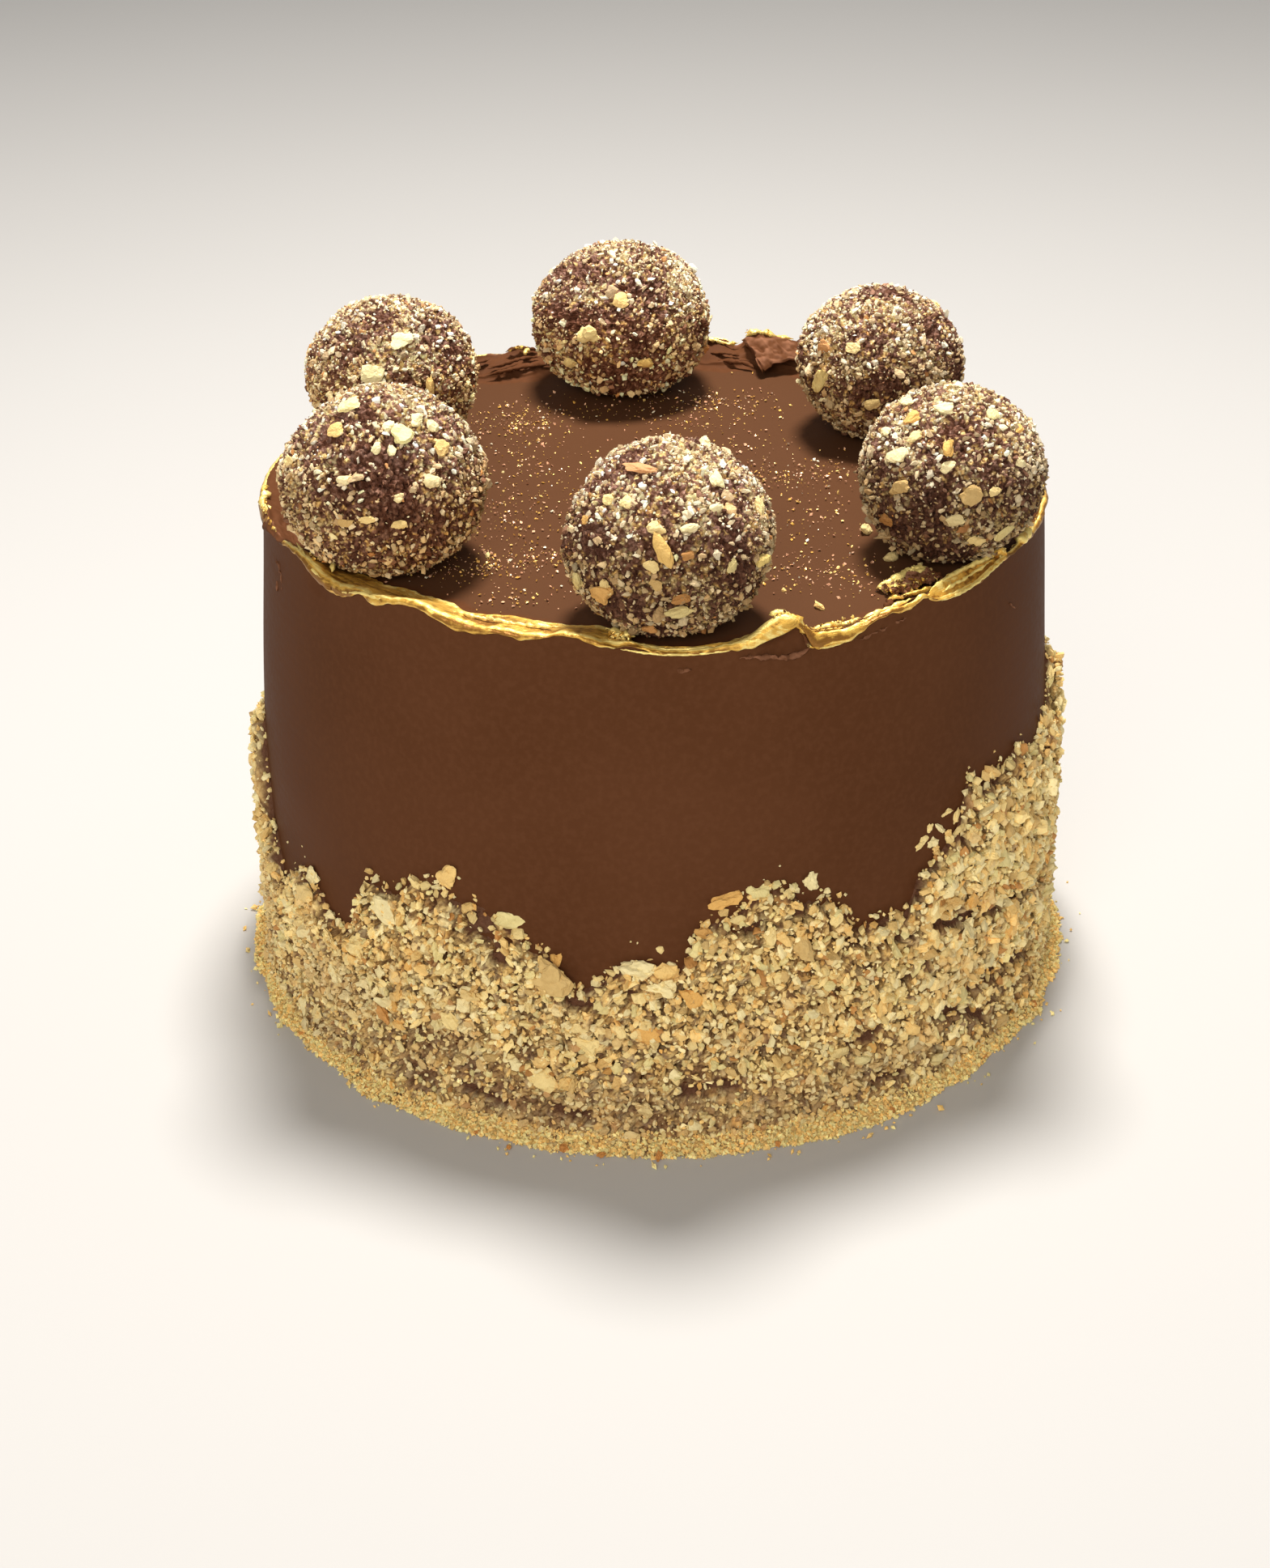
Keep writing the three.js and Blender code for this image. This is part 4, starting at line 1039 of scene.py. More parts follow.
# Unevenness of the nuts' upper edge, of the ring at the foot and of the reach of the crumbs on the floor:
# (strength, size, shift).
EDGE_LAYERS, RING_LAYERS = ((4.5, 5.5, 2.2), (2.5, 2.1, 5.2)), ((3.0, 14, 1.1),)
APRON_LAYERS = ((2.4, 9, 6.1), (1.8, 3, 2.6))
NEAR_EDGE, NEAR_EDGE_FADE = 13, 9  # how far below the edge gaps are common, and over what height that fades
SPOT_FADE = 1.4  # how softly bare spots end
SEAM_DEPTH, BARE_DEPTH = 0.7, 0.9  # shares of the nuts' depth that seams and bare spots take away
GAPS_LOW, GAPS_NEAR_EDGE = 0.92, 0.71  # the noise over which the nuts leave a gap
THIN_PATCHES_TO, THIN_PATCHES_FADE = 26, 12  # height up to which they lie thin in patches
FINER_BELOW, GREY_BELOW, MAUVE_BELOW = 17, 15, 24  # heights below which the bed is finer, greyer and browner
TOASTED, SMEARED, RINGED, SMEARED_BELOW = 0.45, 0.35, 0.85, 34  # how far orange, grey and toast tint the nuts
APRON_REACH = 3.3  # how far the fine crumbs lie out on the floor
APRON_FRONT = ((270, 80, 3.3),)  # where they lie further out: angle, reach, by how much
APRON_HEIGHT = 1.8
APRON_BED = 1.6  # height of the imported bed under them
APRON_LIMIT = 9.0  # how far the last loose one lies

BED_ROWS, BED_COLUMNS = 104, 940
BED_OVERLAP = 3  # how far the bed reaches into the cream, and up behind its surface
LARGE_CRUMB, SMALL_CRUMB = 2.9, 1.45  # sizes of the crumbs in the bed
BED_PALETTE = (NUT_PALE, NUT_CREAM, NUT_TAN, NUT_MEAL, NUT_GREY, NUT_ORANGE, NUT_BROWN)
BED_WEIGHTS = (2, 4, 4, 4, 1.5, 0.3, 0.5)

# The kinds of nut pieces: name, shape, seed, distance between them, half lengths, how far they stray over the
# edge, how far they stand up, and their form.
SIDE_PALETTE = (NUT_PALE, NUT_CREAM, NUT_TAN, NUT_GREEN, NUT_ORANGE, NUT_BROWN, NUT_OLIVE)
SIDE_WEIGHTS = (5.5, 6, 2.6, 1.6, 0.25, 0.4, 2.2)
SIDE_KINDS = (
    ("nut_chunks", BIG_CHUNK, 41, 13, (1.9, 3.0), 0.3, 0.1, dict(cuts=8, flatness=0.42, jag=0.08, lobes=0.2)),
    ("nut_pieces", CHUNK, 42, 3.6, (1.0, 1.9), 0.6, 0.25,
     dict(cuts=5, flatness=0.5, jag=0.14, lobes=0.15, tilt=0.75)),
    ("nut_bits_large", BIT, 43, 1.85, (0.75, 1.4), 0.8, 0.3, dict(cuts=3, flatness=0.5, jag=0.2, tilt=0.7)),
    ("nut_bits_small", BIT, 45, 1.95, (0.5, 0.95), 0.9, 0.6, dict(cuts=3, flatness=0.6, jag=0.2, tilt=0.8)),
    ("nut_grains", GRAIN, 44, 1.65, (0.25, 0.5), 1.3, 1.2, dict(cuts=2, flatness=0.7, jag=0.2)),
)
LARGER_NUTS = ((322, 48, 0.28),)  # where the pieces are larger: angle, reach, by how much
RING_PIECE = 0.6  # the longest half length in the ring of toasted crumbs
LOW_PIECE, LOW_SHARE = 1.0, 0.25  # the half length from which pieces are rarer low on the side, and how rare

# The pieces that stand out: (angle, height, length, width over length, thickness over length, turn of the
# length from level, shade).
PLACED_NUTS = (
    (212.5, 37.3, 4.3, 0.8, 0.35, 20, NUT_PALE), (230.9, 41.6, 6.5, 0.7, 0.35, -25, NUT_PALE),
    (240.6, 52.6, 4.0, 0.8, 0.4, 60, NUT_TAN), (249.8, 46.0, 4.6, 0.66, 0.35, 10, NUT_GREEN),
    (255.7, 36.2, 7.2, 0.9, 0.28, 5, NUT_OLIVE), (256.0, 39.3, 3.2, 0.6, 0.5, 80, NUT_ORANGE),
    (240.9, 21.6, 4.6, 0.8, 0.35, -30, NUT_CREAM), (266.8, 38.8, 6.4, 0.52, 0.36, -8, NUT_PALE),
    (275.8, 46.4, 2.8, 0.9, 0.6, 0, rgb(214, 164, 92)), (278.7, 52.8, 5.6, 0.66, 0.36, 15, NUT_ORANGE),
    (282.9, 53.4, 4.0, 0.85, 0.4, -40, NUT_GREEN), (290.0, 53.9, 3.0, 0.9, 0.5, 0, NUT_PALE),
    (270.6, 37.4, 5.0, 0.8, 0.3, 30, NUT_TAN), (273.6, 33.2, 4.6, 0.7, 0.4, -55, NUT_ORANGE),
    (261.0, 22.0, 5.4, 0.6, 0.3, -35, NUT_CREAM), (254.0, 12.6, 6.0, 0.55, 0.25, -6, NUT_CREAM),
    (268.6, 24.6, 4.8, 0.8, 0.3, 15, NUT_ORANGE), (262.6, 30.6, 4.2, 0.7, 0.35, 70, NUT_GREEN),
    (309.6, 40.2, 4.2, 0.85, 0.4, 25, NUT_CREAM), (320.4, 44.4, 4.6, 0.8, 0.35, -20, NUT_CREAM),
    (224.4, 30.2, 4.4, 0.8, 0.35, 40, NUT_CREAM), (219.6, 20.8, 3.8, 0.9, 0.4, 0, NUT_PALE),
    (307.9, 55.0, 2.1, 0.8, 0.5, 20, NUT_CREAM), (309.2, 57.8, 1.7, 0.8, 0.6, 70, NUT_CREAM),
    (309.8, 54.0, 2.0, 0.9, 0.5, 0, NUT_PALE), (311.2, 56.4, 2.6, 0.5, 0.4, -50, NUT_PALE),
    (312.6, 59.2, 2.2, 0.6, 0.4, 10, NUT_CREAM), (313.0, 54.4, 2.0, 0.8, 0.5, 40, NUT_TAN),
    (314.6, 57.4, 2.3, 0.7, 0.4, 60, NUT_CREAM), (310.6, 52.2, 1.9, 0.9, 0.5, 0, NUT_TAN),
)
PLACED_SEED, PLACED_FORM = 71, dict(cuts=7, jag=0.1, lobes=0.16)
NUT_RISE = 0.06  # how far their middles stand out, in lengths

FOOT_SEED, FOOT_COUNT = 77, 17200
FOOT_PALETTE, FOOT_WEIGHTS = (TOAST, TOAST_DARK, NUT_TAN, NUT_CREAM), (6, 3.6, 2.5, 1.2)
HEAPED, LOOSE = 0.8, 0.012  # shares of the foot's crumbs in the heap, and of those beyond its edge
HEAP_INSET = 0.6  # how far the heap starts under the nuts
FOOT_SIZES, LOOSE_SIZES, LOOSE_REACH = (0.28, 0.8), (0.8, 1.6), 0.35  # half lengths, and how they differ there

# Browner grains that lie against the foot: (angle, distance out from the nuts, length).
BROWN_GRAINS = (
    (257.6, 5.2, 1.8), (262.6, 5.9, 1.5), (269.6, 6.1, 1.5), (284.6, 5.0, 1.2), (246.0, 4.6, 1.2),
    (301.0, 4.0, 1.3), (319.0, 3.0, 1.3), (334.0, 2.8, 1.6), (228.0, 3.2, 1.3), (212.0, 2.6, 1.2),
    (190.0, 2.6, 1.4), (160.0, 2.8, 1.5), (128.0, 3.2, 1.3), (96.0, 3.0, 1.6), (61.0, 3.2, 1.3), (30.0, 2.8, 1.5),
    (6.0, 2.6, 1.3), (251.0, 7.0, 1.0),
)
GRAIN_SEED, GRAIN_WIDTH, GRAIN_DEPTH = 72, 0.8, 0.75
GRAIN_RISE = 0.42  # height of their middles, in lengths


def ragged_edge(turn):
    """The upper edge of the nuts with its small teeth."""
    ring = on_circle(turn, BASE_RADIUS, 0)
    return nut_edge(turn) + layered(ring, EDGE_LAYERS)


def bareness(turn, z):
    """How bare of nuts the cream is at places on the side, from 0 to 1: small gaps, most of them near the edge,
    and the bare spots."""
    place = on_circle(turn, BASE_RADIUS, z * 1.4)
    near_edge = smooth((z - nut_edge(turn) + NEAR_EDGE) / NEAR_EDGE_FADE)
    ragged = noise(place, 2.0, 8.3)
    spots = np.zeros(np.shape(z))
    for spot_turn, spot_z, reach in BARE_SPOTS:
        apart = np.hypot(turn_from(spot_turn, turn) * SIDE_ARC, z - spot_z)
        spots = np.maximum(spots, smooth((reach * (0.5 + ragged) - apart) / SPOT_FADE))
    gaps = smooth((noise(place, 2.5, 4.4) - blend(GAPS_LOW, GAPS_NEAR_EDGE, near_edge)) / 0.08)
    return np.maximum(BARE_DEPTH * spots, gaps)


def thinness(turn, z):
    """How thin the nuts lie, from 0 to 1: in the seams and in ragged patches low on the side."""
    place = on_circle(turn, BASE_RADIUS, z * 2.0)
    ragged = noise(place, 2.2, 3.9)
    patches = smooth((0.7 * noise(place, 7.5, 9.2) + 0.3 * ragged - 0.56) / 0.1)
    patches = patches * smooth((THIN_PATCHES_TO - z) / THIN_PATCHES_FADE)
    seam = np.zeros(np.shape(z))
    for path, reach in SEAMS:
        for (turn_a, z_a), (turn_b, z_b) in zip(path, path[1:]):
            across, up = turn_from(turn_a, turn) * SIDE_ARC, z - z_a
            long, rise = (turn_b - turn_a) * SIDE_ARC, z_b - z_a
            share = np.clip((across * long + up * rise) / (long**2 + rise**2), 0, 1)
            apart = np.hypot(across - share * long, up - share * rise)
            seam = np.maximum(seam, smooth(1.6 - apart / (reach * (0.4 + 1.2 * ragged))))
    return np.maximum(0.5 * patches, seam) * smooth((z - foot_ring(turn)) / 2)


def foot_ring(turn):
    """Height of the ring of fine toasted crumbs at the foot."""
    return FOOT_RING - 1.0 + layered(on_circle(turn, BASE_RADIUS, 0), RING_LAYERS)


def apron_reach(turn):
    """How far the fine crumbs lie out from the nuts at angles."""
    ring = on_circle(turn, BASE_RADIUS, 0)
    return APRON_REACH + swells(turn, APRON_FRONT) + layered(ring, APRON_LAYERS)


def bed_depth(turn, z):
    """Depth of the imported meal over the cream."""
    inside = smooth((ragged_edge(turn) - z) / 2.6)
    foot = FOOT_SPREAD * np.exp(-z / FOOT_FADE)
    thin = np.maximum(BARE_DEPTH * bareness(turn, z), SEAM_DEPTH * thinness(turn, z))
    return NUT_DEPTH * inside * (1 - thin) - 0.5 * (1 - inside) + foot


def bed_shade(turn, z, depth, place, finer, gap, own_large, own_small):
    """Colours of the bed: each crumb its own, greyer and with more cream between them low on the side, and painted
    shade in the crevices between them.
    """
    large, small = (from_palette(BED_PALETTE, BED_WEIGHTS, own[..., 1]) for own in (own_large, own_small))
    meal = blend(large, small, blend(0.35, 0.9, finer)[..., None])
    meal = blend(meal, NUT_GREY, 0.2 * smooth((GREY_BELOW - z) / 12)[..., None]) * (0.82 + 0.3 * own_small[..., 2:3])
    meal = blend(meal, BED_MAUVE, 0.9 * thinness(turn, z)[..., None])
    low = smooth((MAUVE_BELOW - z) / 14) * smooth((noise(place, 5.0, 6.9) - 0.3) / 0.3)
    meal = blend(meal, BED_MAUVE, LOW_MAUVE * low[..., None])
    # painted shade in the crevices between crumbs
    crevice = 1 - smooth(gap / 0.16)
    shade = blend(BED_LOW, meal, (smooth((depth - 0.9) / 0.8) * (1 - 0.9 * crevice))[..., None])
    return blend(shade, TOAST, smooth((foot_ring(turn) - z) / 1.5)[..., None])


def nut_bed(material):
    """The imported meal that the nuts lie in: a band of crumb-sized bumps that sinks into the cream above."""
    turn = np.arange(BED_COLUMNS) * 360 / BED_COLUMNS
    z = np.linspace(0, 1, BED_ROWS)[:, None] * (ragged_edge(turn)[None] + BED_OVERLAP)
    turn = np.broadcast_to(turn, z.shape)
    place = on_circle(turn, cream_radius(z), z)
    large, large_gap, own_large = crumb_relief(place, LARGE_CRUMB, 1.3)
    small, small_gap, own_small = crumb_relief(place, SMALL_CRUMB, 5.1)
    finer = smooth((FINER_BELOW - z) / 9)
    relief = blend(0.8 * LARGE_CRUMB * large + 0.5 * SMALL_CRUMB * small, 0.95 * SMALL_CRUMB * small, finer)
    depth = bed_depth(turn, z)
    cover = smooth((depth - 0.3) / 1.2)
    apron = NUT_DEPTH + (apron_reach(turn) - 0.5) * (1 - z / APRON_BED)
    depth = np.where(z < APRON_BED, np.maximum(depth, apron), depth)
    radius = cream_radius(z) + depth + (relief - 0.25) * cover * smooth(0.4 + z / 3)
    gap = np.minimum(large_gap + 0.5 * finer, small_gap)
    shade = bed_shade(turn, z, depth, place, finer, gap, own_large, own_small)
    foot = on_circle(turn[0], BASE_RADIUS - BED_OVERLAP, 0)
    inside = on_circle(turn[0], cream_radius(z[-1]) - BED_OVERLAP, z[-1])
    points = np.vstack((foot, on_circle(turn, radius, z).reshape(-1, 3), inside))
    shade = np.concatenate((shade[:1], shade, shade[-1:])).reshape(-1, 3)
    rows = BED_ROWS + 2
    last, here = (rows - 1) * BED_COLUMNS, np.arange(BED_COLUMNS)
    after = (here + 1) % BED_COLUMNS
    back = np.stack((last + here, last + after, after, here), axis=-1).tolist()
    return shaded_piece("nut_bed", points, grid_faces(rows, BED_COLUMNS) + back, shade, material)


def spread_on_side(rng, cell, stray):
    """Places over the nut coat in a jittered grid of `cell`, thinned above the edge over `stray` and where it
    is bare. Gives angles and heights."""
    columns = int(2 * math.pi * BASE_RADIUS / cell)
    turn, z = np.meshgrid(np.arange(columns), np.arange(int(NUT_CEILING / cell)))
    turn = (turn + rng.random(turn.shape)).ravel() * 360 / columns
    z = (z + rng.random(z.shape)).ravel() * cell
    above = z - ragged_edge(turn)
    chance = np.where(above < 0, 1, np.exp(-np.maximum(above, 0) / stray)) * (1 - 0.93 * bareness(turn, z))
    keep = rng.random(len(z)) < chance * (1 - 0.75 * thinness(turn, z))
    return turn[keep], z[keep]


def side_nuts(material, name, template, seed, cell, half_size, stray, lift, form):
    """Nut pieces of one kind over the coat."""
    rng = np.random.default_rng(seed)
    turn, z = spread_on_side(rng, cell, stray)
    sizes = blend(*half_size, rng.random(len(z)) ** 1.7) * (1 + swells(turn, LARGER_NUTS))
    keep = (z > foot_ring(turn)) | (sizes < RING_PIECE)
    keep &= (sizes < LOW_PIECE) | (rng.random(len(z)) < blend(LOW_SHARE, 1, smooth((z - 8) / 9)))
    turn, z, sizes = turn[keep], np.maximum(z[keep], sizes[keep]), sizes[keep]
    radius = cream_radius(z) + np.maximum(bed_depth(turn, z), 0) + sizes * lift * rng.uniform(0.2, 1.8, len(z))
    places = on_circle(turn, radius, z)

    def tint(shades):
        """Soft orange patches, greyer smears low on the side, and the toasted ring."""
        toasted = smooth((noise(places, 4.0, 2.9) - 0.7) / 0.1) * TOASTED
        smeared = smooth((noise(places * (1, 1, 1.6), 11, 6.6) - 0.45) / 0.2) * SMEARED
        smeared = smeared * smooth((SMEARED_BELOW - z) / 18)
        ring = smooth((foot_ring(turn) + 0.5 - z) / 2) * RINGED
        for share, colour in ((toasted, NUT_ORANGE), (smeared, NUT_GREY), (ring, TOAST)):
            shades = blend(shades, colour, share[:, None])
        return shades

    return crumbs(name, template, material, rng, places, on_circle(turn, 1.0, 0.0), sizes, SIDE_PALETTE,
                  SIDE_WEIGHTS, 0.1, tint, **form)


def placed_nuts(material):
    *numbers, shades = zip(*PLACED_NUTS)
    turn, z, length, width, depth, lie = map(np.array, numbers)
    out = cream_radius(z) + np.maximum(bed_depth(turn, z), 0) + NUT_RISE * length
    return placed_pieces("nut_placed", material, "cream", PLACED_SEED, on_circle(turn, out, z),
                         on_circle(turn, 1.0, 0.0), length, width, depth, lie, np.array(shades), PLACED_FORM)


def brown_grains(material):
    turn, out, length = np.array(BROWN_GRAINS).T
    places = on_circle(turn, BASE_RADIUS + NUT_DEPTH + out, length * GRAIN_RISE)
    normals = unit(upright(len(turn)) + 0.01 * on_circle(turn, 1.0, 0.0))
    width, depth = np.full(len(turn), GRAIN_WIDTH), np.full(len(turn), GRAIN_DEPTH)
    shades = np.tile(GRAIN_BROWN, (len(turn), 1))
    return placed_pieces("foot_grains", material, "cream", GRAIN_SEED, places, normals, length, width, depth,
                         turn * 7, shades, PLACED_FORM)


def foot_crumbs(material):
    """Fine toasted crumbs packed round the foot and lying in a low ragged heap against it."""
    rng = np.random.default_rng(FOOT_SEED)
    count = FOOT_COUNT
    turn = rng.random(count)
    turn = (turn + 0.05 * np.sin(2 * np.pi * turn)) * 360 + 90
    heaped = rng.random(count) < HEAPED
    z = rng.random(count) ** 1.3 * (foot_ring(turn) + 0.8)
    packed = BASE_RADIUS + NUT_DEPTH + FOOT_SPREAD * np.exp(-z / FOOT_FADE) + rng.normal(size=count) * 0.2
    share = rng.random(count) ** 0.75
    sizes = blend(*FOOT_SIZES, rng.random(count) ** 2)
    loose = heaped & (rng.random(count) < LOOSE)
    share = np.where(loose, 1 + rng.exponential(LOOSE_REACH, count), share)
    sizes = np.where(loose, sizes * rng.uniform(*LOOSE_SIZES, count), sizes)
    heap_z = APRON_HEIGHT * np.clip(1 - share, 0, 1) * rng.uniform(0.6, 1.05, count) + 0.55 * sizes
    heap_out = BASE_RADIUS + NUT_DEPTH - HEAP_INSET + share * (apron_reach(turn) + HEAP_INSET)
    out = np.minimum(np.where(heaped, heap_out, packed), BASE_RADIUS + NUT_DEPTH + APRON_LIMIT)
    z = np.where(heaped, heap_z, np.maximum(z, sizes * 0.6))
    return crumbs("foot_crumbs", GRAIN, material, rng, on_circle(turn, out, z), on_circle(turn, 1.0, 0.8), sizes,
                  FOOT_PALETTE, FOOT_WEIGHTS, flatness=0.8, tilt=0.8)


# ---------------------------------------------------------------- the truffles
TRUFFLE_BALL = template_ball(6)
TRUFFLE_CRUMB, TRUFFLE_MEAL = 1.35, 0.75  # sizes of the crumbs that cover the ball
TRUFFLE_INSET = 0.35  # how far its skin lies under the ends of the crumbs
TRUFFLE_DARK, TRUFFLE_BROWN, TRUFFLE_MAUVE = rgb(94, 54, 32), rgb(128, 87, 63), rgb(158, 119, 98)
BRIGHTEST = 0.97  # the most light that a crumb's colour gives back
CROWN_HIGHLIGHT_TINT = np.array((1.03, 1.06, 1.2))  # a painted highlight makes the crown whiter,
LOWER_SHADE_TINT = np.array((0.84, 0.73, 0.6))  # and a painted shade makes the lower side darker and yellower
CORE_PALETTE = (TRUFFLE_DARK, TRUFFLE_BROWN, TRUFFLE_MAUVE, NUT_TAN, NUT_CREAM, NUT_PALE)
CORE_WEIGHTS = (3, 4.8, 4.8, 2, 1.2, 0.5)
CORE_PALER = 0.1  # how much more of its pale meal shows at the crown
THICK_GRAIN, THICK_SIZE, THICK_SHIFT = 19, 6.5, 3.3  # where the crumbs lie thick
MEAN_SHARE, LEAST_SHARE, SPARE = 0.53, 0.02, 1.9  # shares of the tried crumbs that stay, and how many are tried
SUNK = 0.12  # how far the crumbs' middles lie over the skin, in half lengths
BARE_BELOW = -0.84  # below this, as a share of its half height, a truffle has no crumbs
TOP_GAP = 0.1  # least height of a crumb's corners over the top

# The kinds of crumbs on them: name, shape, seed, number tried for each truffle, half lengths, weights of the
# palette, how much they clump, and their form.
TRUFFLE_PALETTE = (rgb(252, 240, 204), rgb(241, 219, 172), rgb(214, 185, 137), rgb(214, 156, 94), rgb(142, 102, 76))
TRUFFLE_KINDS = (
    ("truffle_chunks", CHUNK, 61, 34, (0.95, 1.75), (4, 5, 3, 0.8, 0), 0.3,
     dict(cuts=5, flatness=0.5, jag=0.15, lobes=0.15, tilt=0.6)),
    ("truffle_bits", BIT, 62, 1300, (0.5, 1.08), (4.5, 5, 4, 0.3, 2), 0.45,
     dict(cuts=3, flatness=0.5, jag=0.22, tilt=0.6, slender=(0.45, 0.95))),
    ("truffle_grains", GRAIN, 63, 3100, (0.24, 0.48), (3.5, 4, 4, 0.3, 4.5), 0.5,
     dict(cuts=2, flatness=0.7, jag=0.2)),
)

# Pieces that stand out on the truffles: (truffle, azimuth, elevation, length, width over length, thickness over
# length, turn of the length from level, shade).
PLACED_ON_TRUFFLES = (
    (0, 265, 15, 5.4, 0.46, 0.42, 105, rgb(244, 202, 118)), (0, 261, 29, 2.8, 0.75, 0.6, 0, NUT_CREAM),
    (0, 326, -1, 2.8, 0.8, 0.6, 20, rgb(248, 224, 140)), (0, 233, 62, 5.6, 0.3, 0.22, 8, rgb(220, 162, 108)),
    (0, 273, -20, 4.4, 0.55, 0.35, 10, NUT_GREEN), (0, 261, -3, 2.6, 0.8, 0.35, 80, NUT_OLIVE),
    (0, 208, -15, 3.8, 0.6, 0.35, 80, NUT_GREEN), (0, 226, -18, 4.6, 0.7, 0.45, 30, rgb(240, 190, 112)),
    (0, 231, -13, 2.8, 0.7, 0.5, 80, NUT_CREAM), (0, 300, 37, 2.6, 0.6, 0.4, 0, NUT_PALE),
    (0, 311, 35, 2.2, 0.8, 0.5, 80, rgb(238, 196, 138)), (0, 279, 14, 2.2, 0.7, 0.5, 0, NUT_BROWN),
    (0, 275, -12, 2.6, 0.6, 0.4, 15, NUT_BROWN), (0, 256, -38, 2.8, 0.6, 0.4, 5, NUT_BROWN),
    (0, 259, 8, 2.8, 0.7, 0.4, -20, NUT_CREAM), (0, 281, 28, 2.8, 0.5, 0.4, 20, NUT_PALE),
    (0, 302, 4, 2.4, 0.8, 0.4, 60, NUT_GREEN), (0, 222, 39, 2.1, 0.9, 0.5, 0, rgb(248, 224, 150)),
    (0, 211, 24, 2.1, 0.8, 0.5, 50, NUT_ORANGE), (0, 340, 27, 3.0, 0.8, 0.4, 70, NUT_CREAM),
    (0, 314, 52, 3.4, 0.6, 0.35, 60, NUT_PALE), (0, 237, 41, 2.4, 0.8, 0.4, 10, NUT_CREAM),
    (0, 34, 66, 3.0, 0.7, 0.5, 0, NUT_PALE), (1, 222, 28, 3.7, 0.8, 0.5, 60, NUT_PALE),
    (1, 231, 42, 2.8, 0.7, 0.5, 70, NUT_CREAM), (1, 246, 67, 3.3, 0.7, 0.45, 5, NUT_PALE),
    (1, 182, 60, 3.0, 0.7, 0.4, 20, NUT_PALE), (1, 215, 53, 3.2, 0.7, 0.5, 70, NUT_ORANGE),
    (1, 260, 40, 3.9, 0.55, 0.5, 80, rgb(238, 188, 102)), (1, 200, 38, 2.5, 0.8, 0.5, 0, NUT_PALE),
    (1, 311, 59, 2.5, 0.8, 0.4, 0, NUT_GREEN), (1, 274, 9, 3.7, 0.8, 0.4, -10, NUT_OLIVE),
    (1, 289, 10, 2.4, 0.9, 0.5, 0, NUT_CREAM), (1, 265, -8, 2.9, 0.75, 0.5, 10, NUT_PALE),
    (1, 281, -23, 3.0, 0.7, 0.4, 5, NUT_CREAM), (1, 260, 27, 2.5, 0.9, 0.5, 40, NUT_PALE),
    (1, 230, 9, 4.0, 0.6, 0.4, 15, NUT_OLIVE), (1, 222, -14, 2.9, 0.8, 0.4, 0, NUT_BROWN),
    (1, 327, 42, 2.1, 0.7, 0.5, 0, NUT_ORANGE), (1, 312, 24, 2.4, 0.6, 0.4, -20, NUT_PALE),
    (1, 300, -20, 3.6, 0.5, 0.35, 30, NUT_GREEN), (2, 222, 2, 5.6, 0.4, 0.35, 75, rgb(248, 226, 150)),
    (2, 262, -10, 3.2, 0.7, 0.4, 0, NUT_CREAM), (2, 245, 30, 3.6, 0.7, 0.4, 10, NUT_CREAM),
    (3, 250, 10, 4.2, 0.7, 0.35, 20, NUT_CREAM), (3, 285, -12, 4.0, 0.5, 0.35, -10, rgb(246, 214, 130)),
    (3, 270, 35, 3.2, 0.8, 0.4, 60, NUT_TAN), (3, 235, -16, 3.6, 0.6, 0.4, 20, NUT_CREAM),
    (4, 262, 22, 4.6, 0.7, 0.35, 15, NUT_PALE), (4, 285, 45, 4.2, 0.7, 0.35, 40, NUT_PALE),
    (4, 240, -8, 3.4, 0.7, 0.4, 0, NUT_GREEN), (4, 300, 8, 4.6, 0.4, 0.35, 80, rgb(240, 206, 130)),
    (5, 292, 47, 4.3, 0.75, 0.45, 20, rgb(252, 238, 166)), (5, 283, 53, 2.4, 0.8, 0.5, 70, NUT_PALE),
    (5, 315, 54, 3.1, 0.7, 0.45, 10, NUT_PALE), (5, 327, 48, 2.6, 0.8, 0.5, 30, NUT_PALE),
    (5, 225, 66, 3.9, 0.8, 0.4, 40, rgb(250, 232, 160)), (5, 282, 39, 2.0, 0.8, 0.5, 60, NUT_PALE),
    (5, 271, 40, 2.3, 0.6, 0.5, 60, NUT_PALE), (5, 252, 22, 2.5, 0.6, 0.4, 10, NUT_PALE),
    (5, 234, 48, 3.2, 0.7, 0.4, 50, rgb(246, 206, 128)), (5, 306, 18, 3.1, 0.75, 0.45, 20, NUT_PALE),
    (5, 283, 12, 1.9, 0.9, 0.5, 0, NUT_PALE), (5, 265, 0, 2.5, 0.6, 0.4, 5, NUT_CREAM),
    (5, 282, -4, 2.5, 0.6, 0.4, 0, NUT_CREAM), (5, 254, -3, 2.6, 0.8, 0.35, 0, NUT_OLIVE),
    (5, 321, 33, 2.8, 0.9, 0.4, 0, NUT_TAN), (5, 200, 20, 2.8, 0.7, 0.4, 30, NUT_CREAM),
    (2, 60, 20, 3.0, 0.7, 0.4, 10, NUT_PALE), (3, 100, 20, 3.4, 0.7, 0.4, 30, NUT_CREAM),
    (4, 150, 20, 3.0, 0.7, 0.4, 60, NUT_PALE), (2, 20, 45, 2.6, 0.8, 0.4, 0, NUT_CREAM),
    (1, 40, 25, 2.8, 0.7, 0.4, 20, NUT_PALE),
)
TRUFFLE_PLACED_SEED, TRUFFLE_PLACED_FORM = 73, dict(cuts=7, jag=0.06, lobes=0.1)
PLACED_LIGHT_TINT = 0.6  # how far their colours take the painted crown highlight and lower shade of the crumbs about them
PLACED_RISE = 0.1  # how far their middles stand out, in lengths


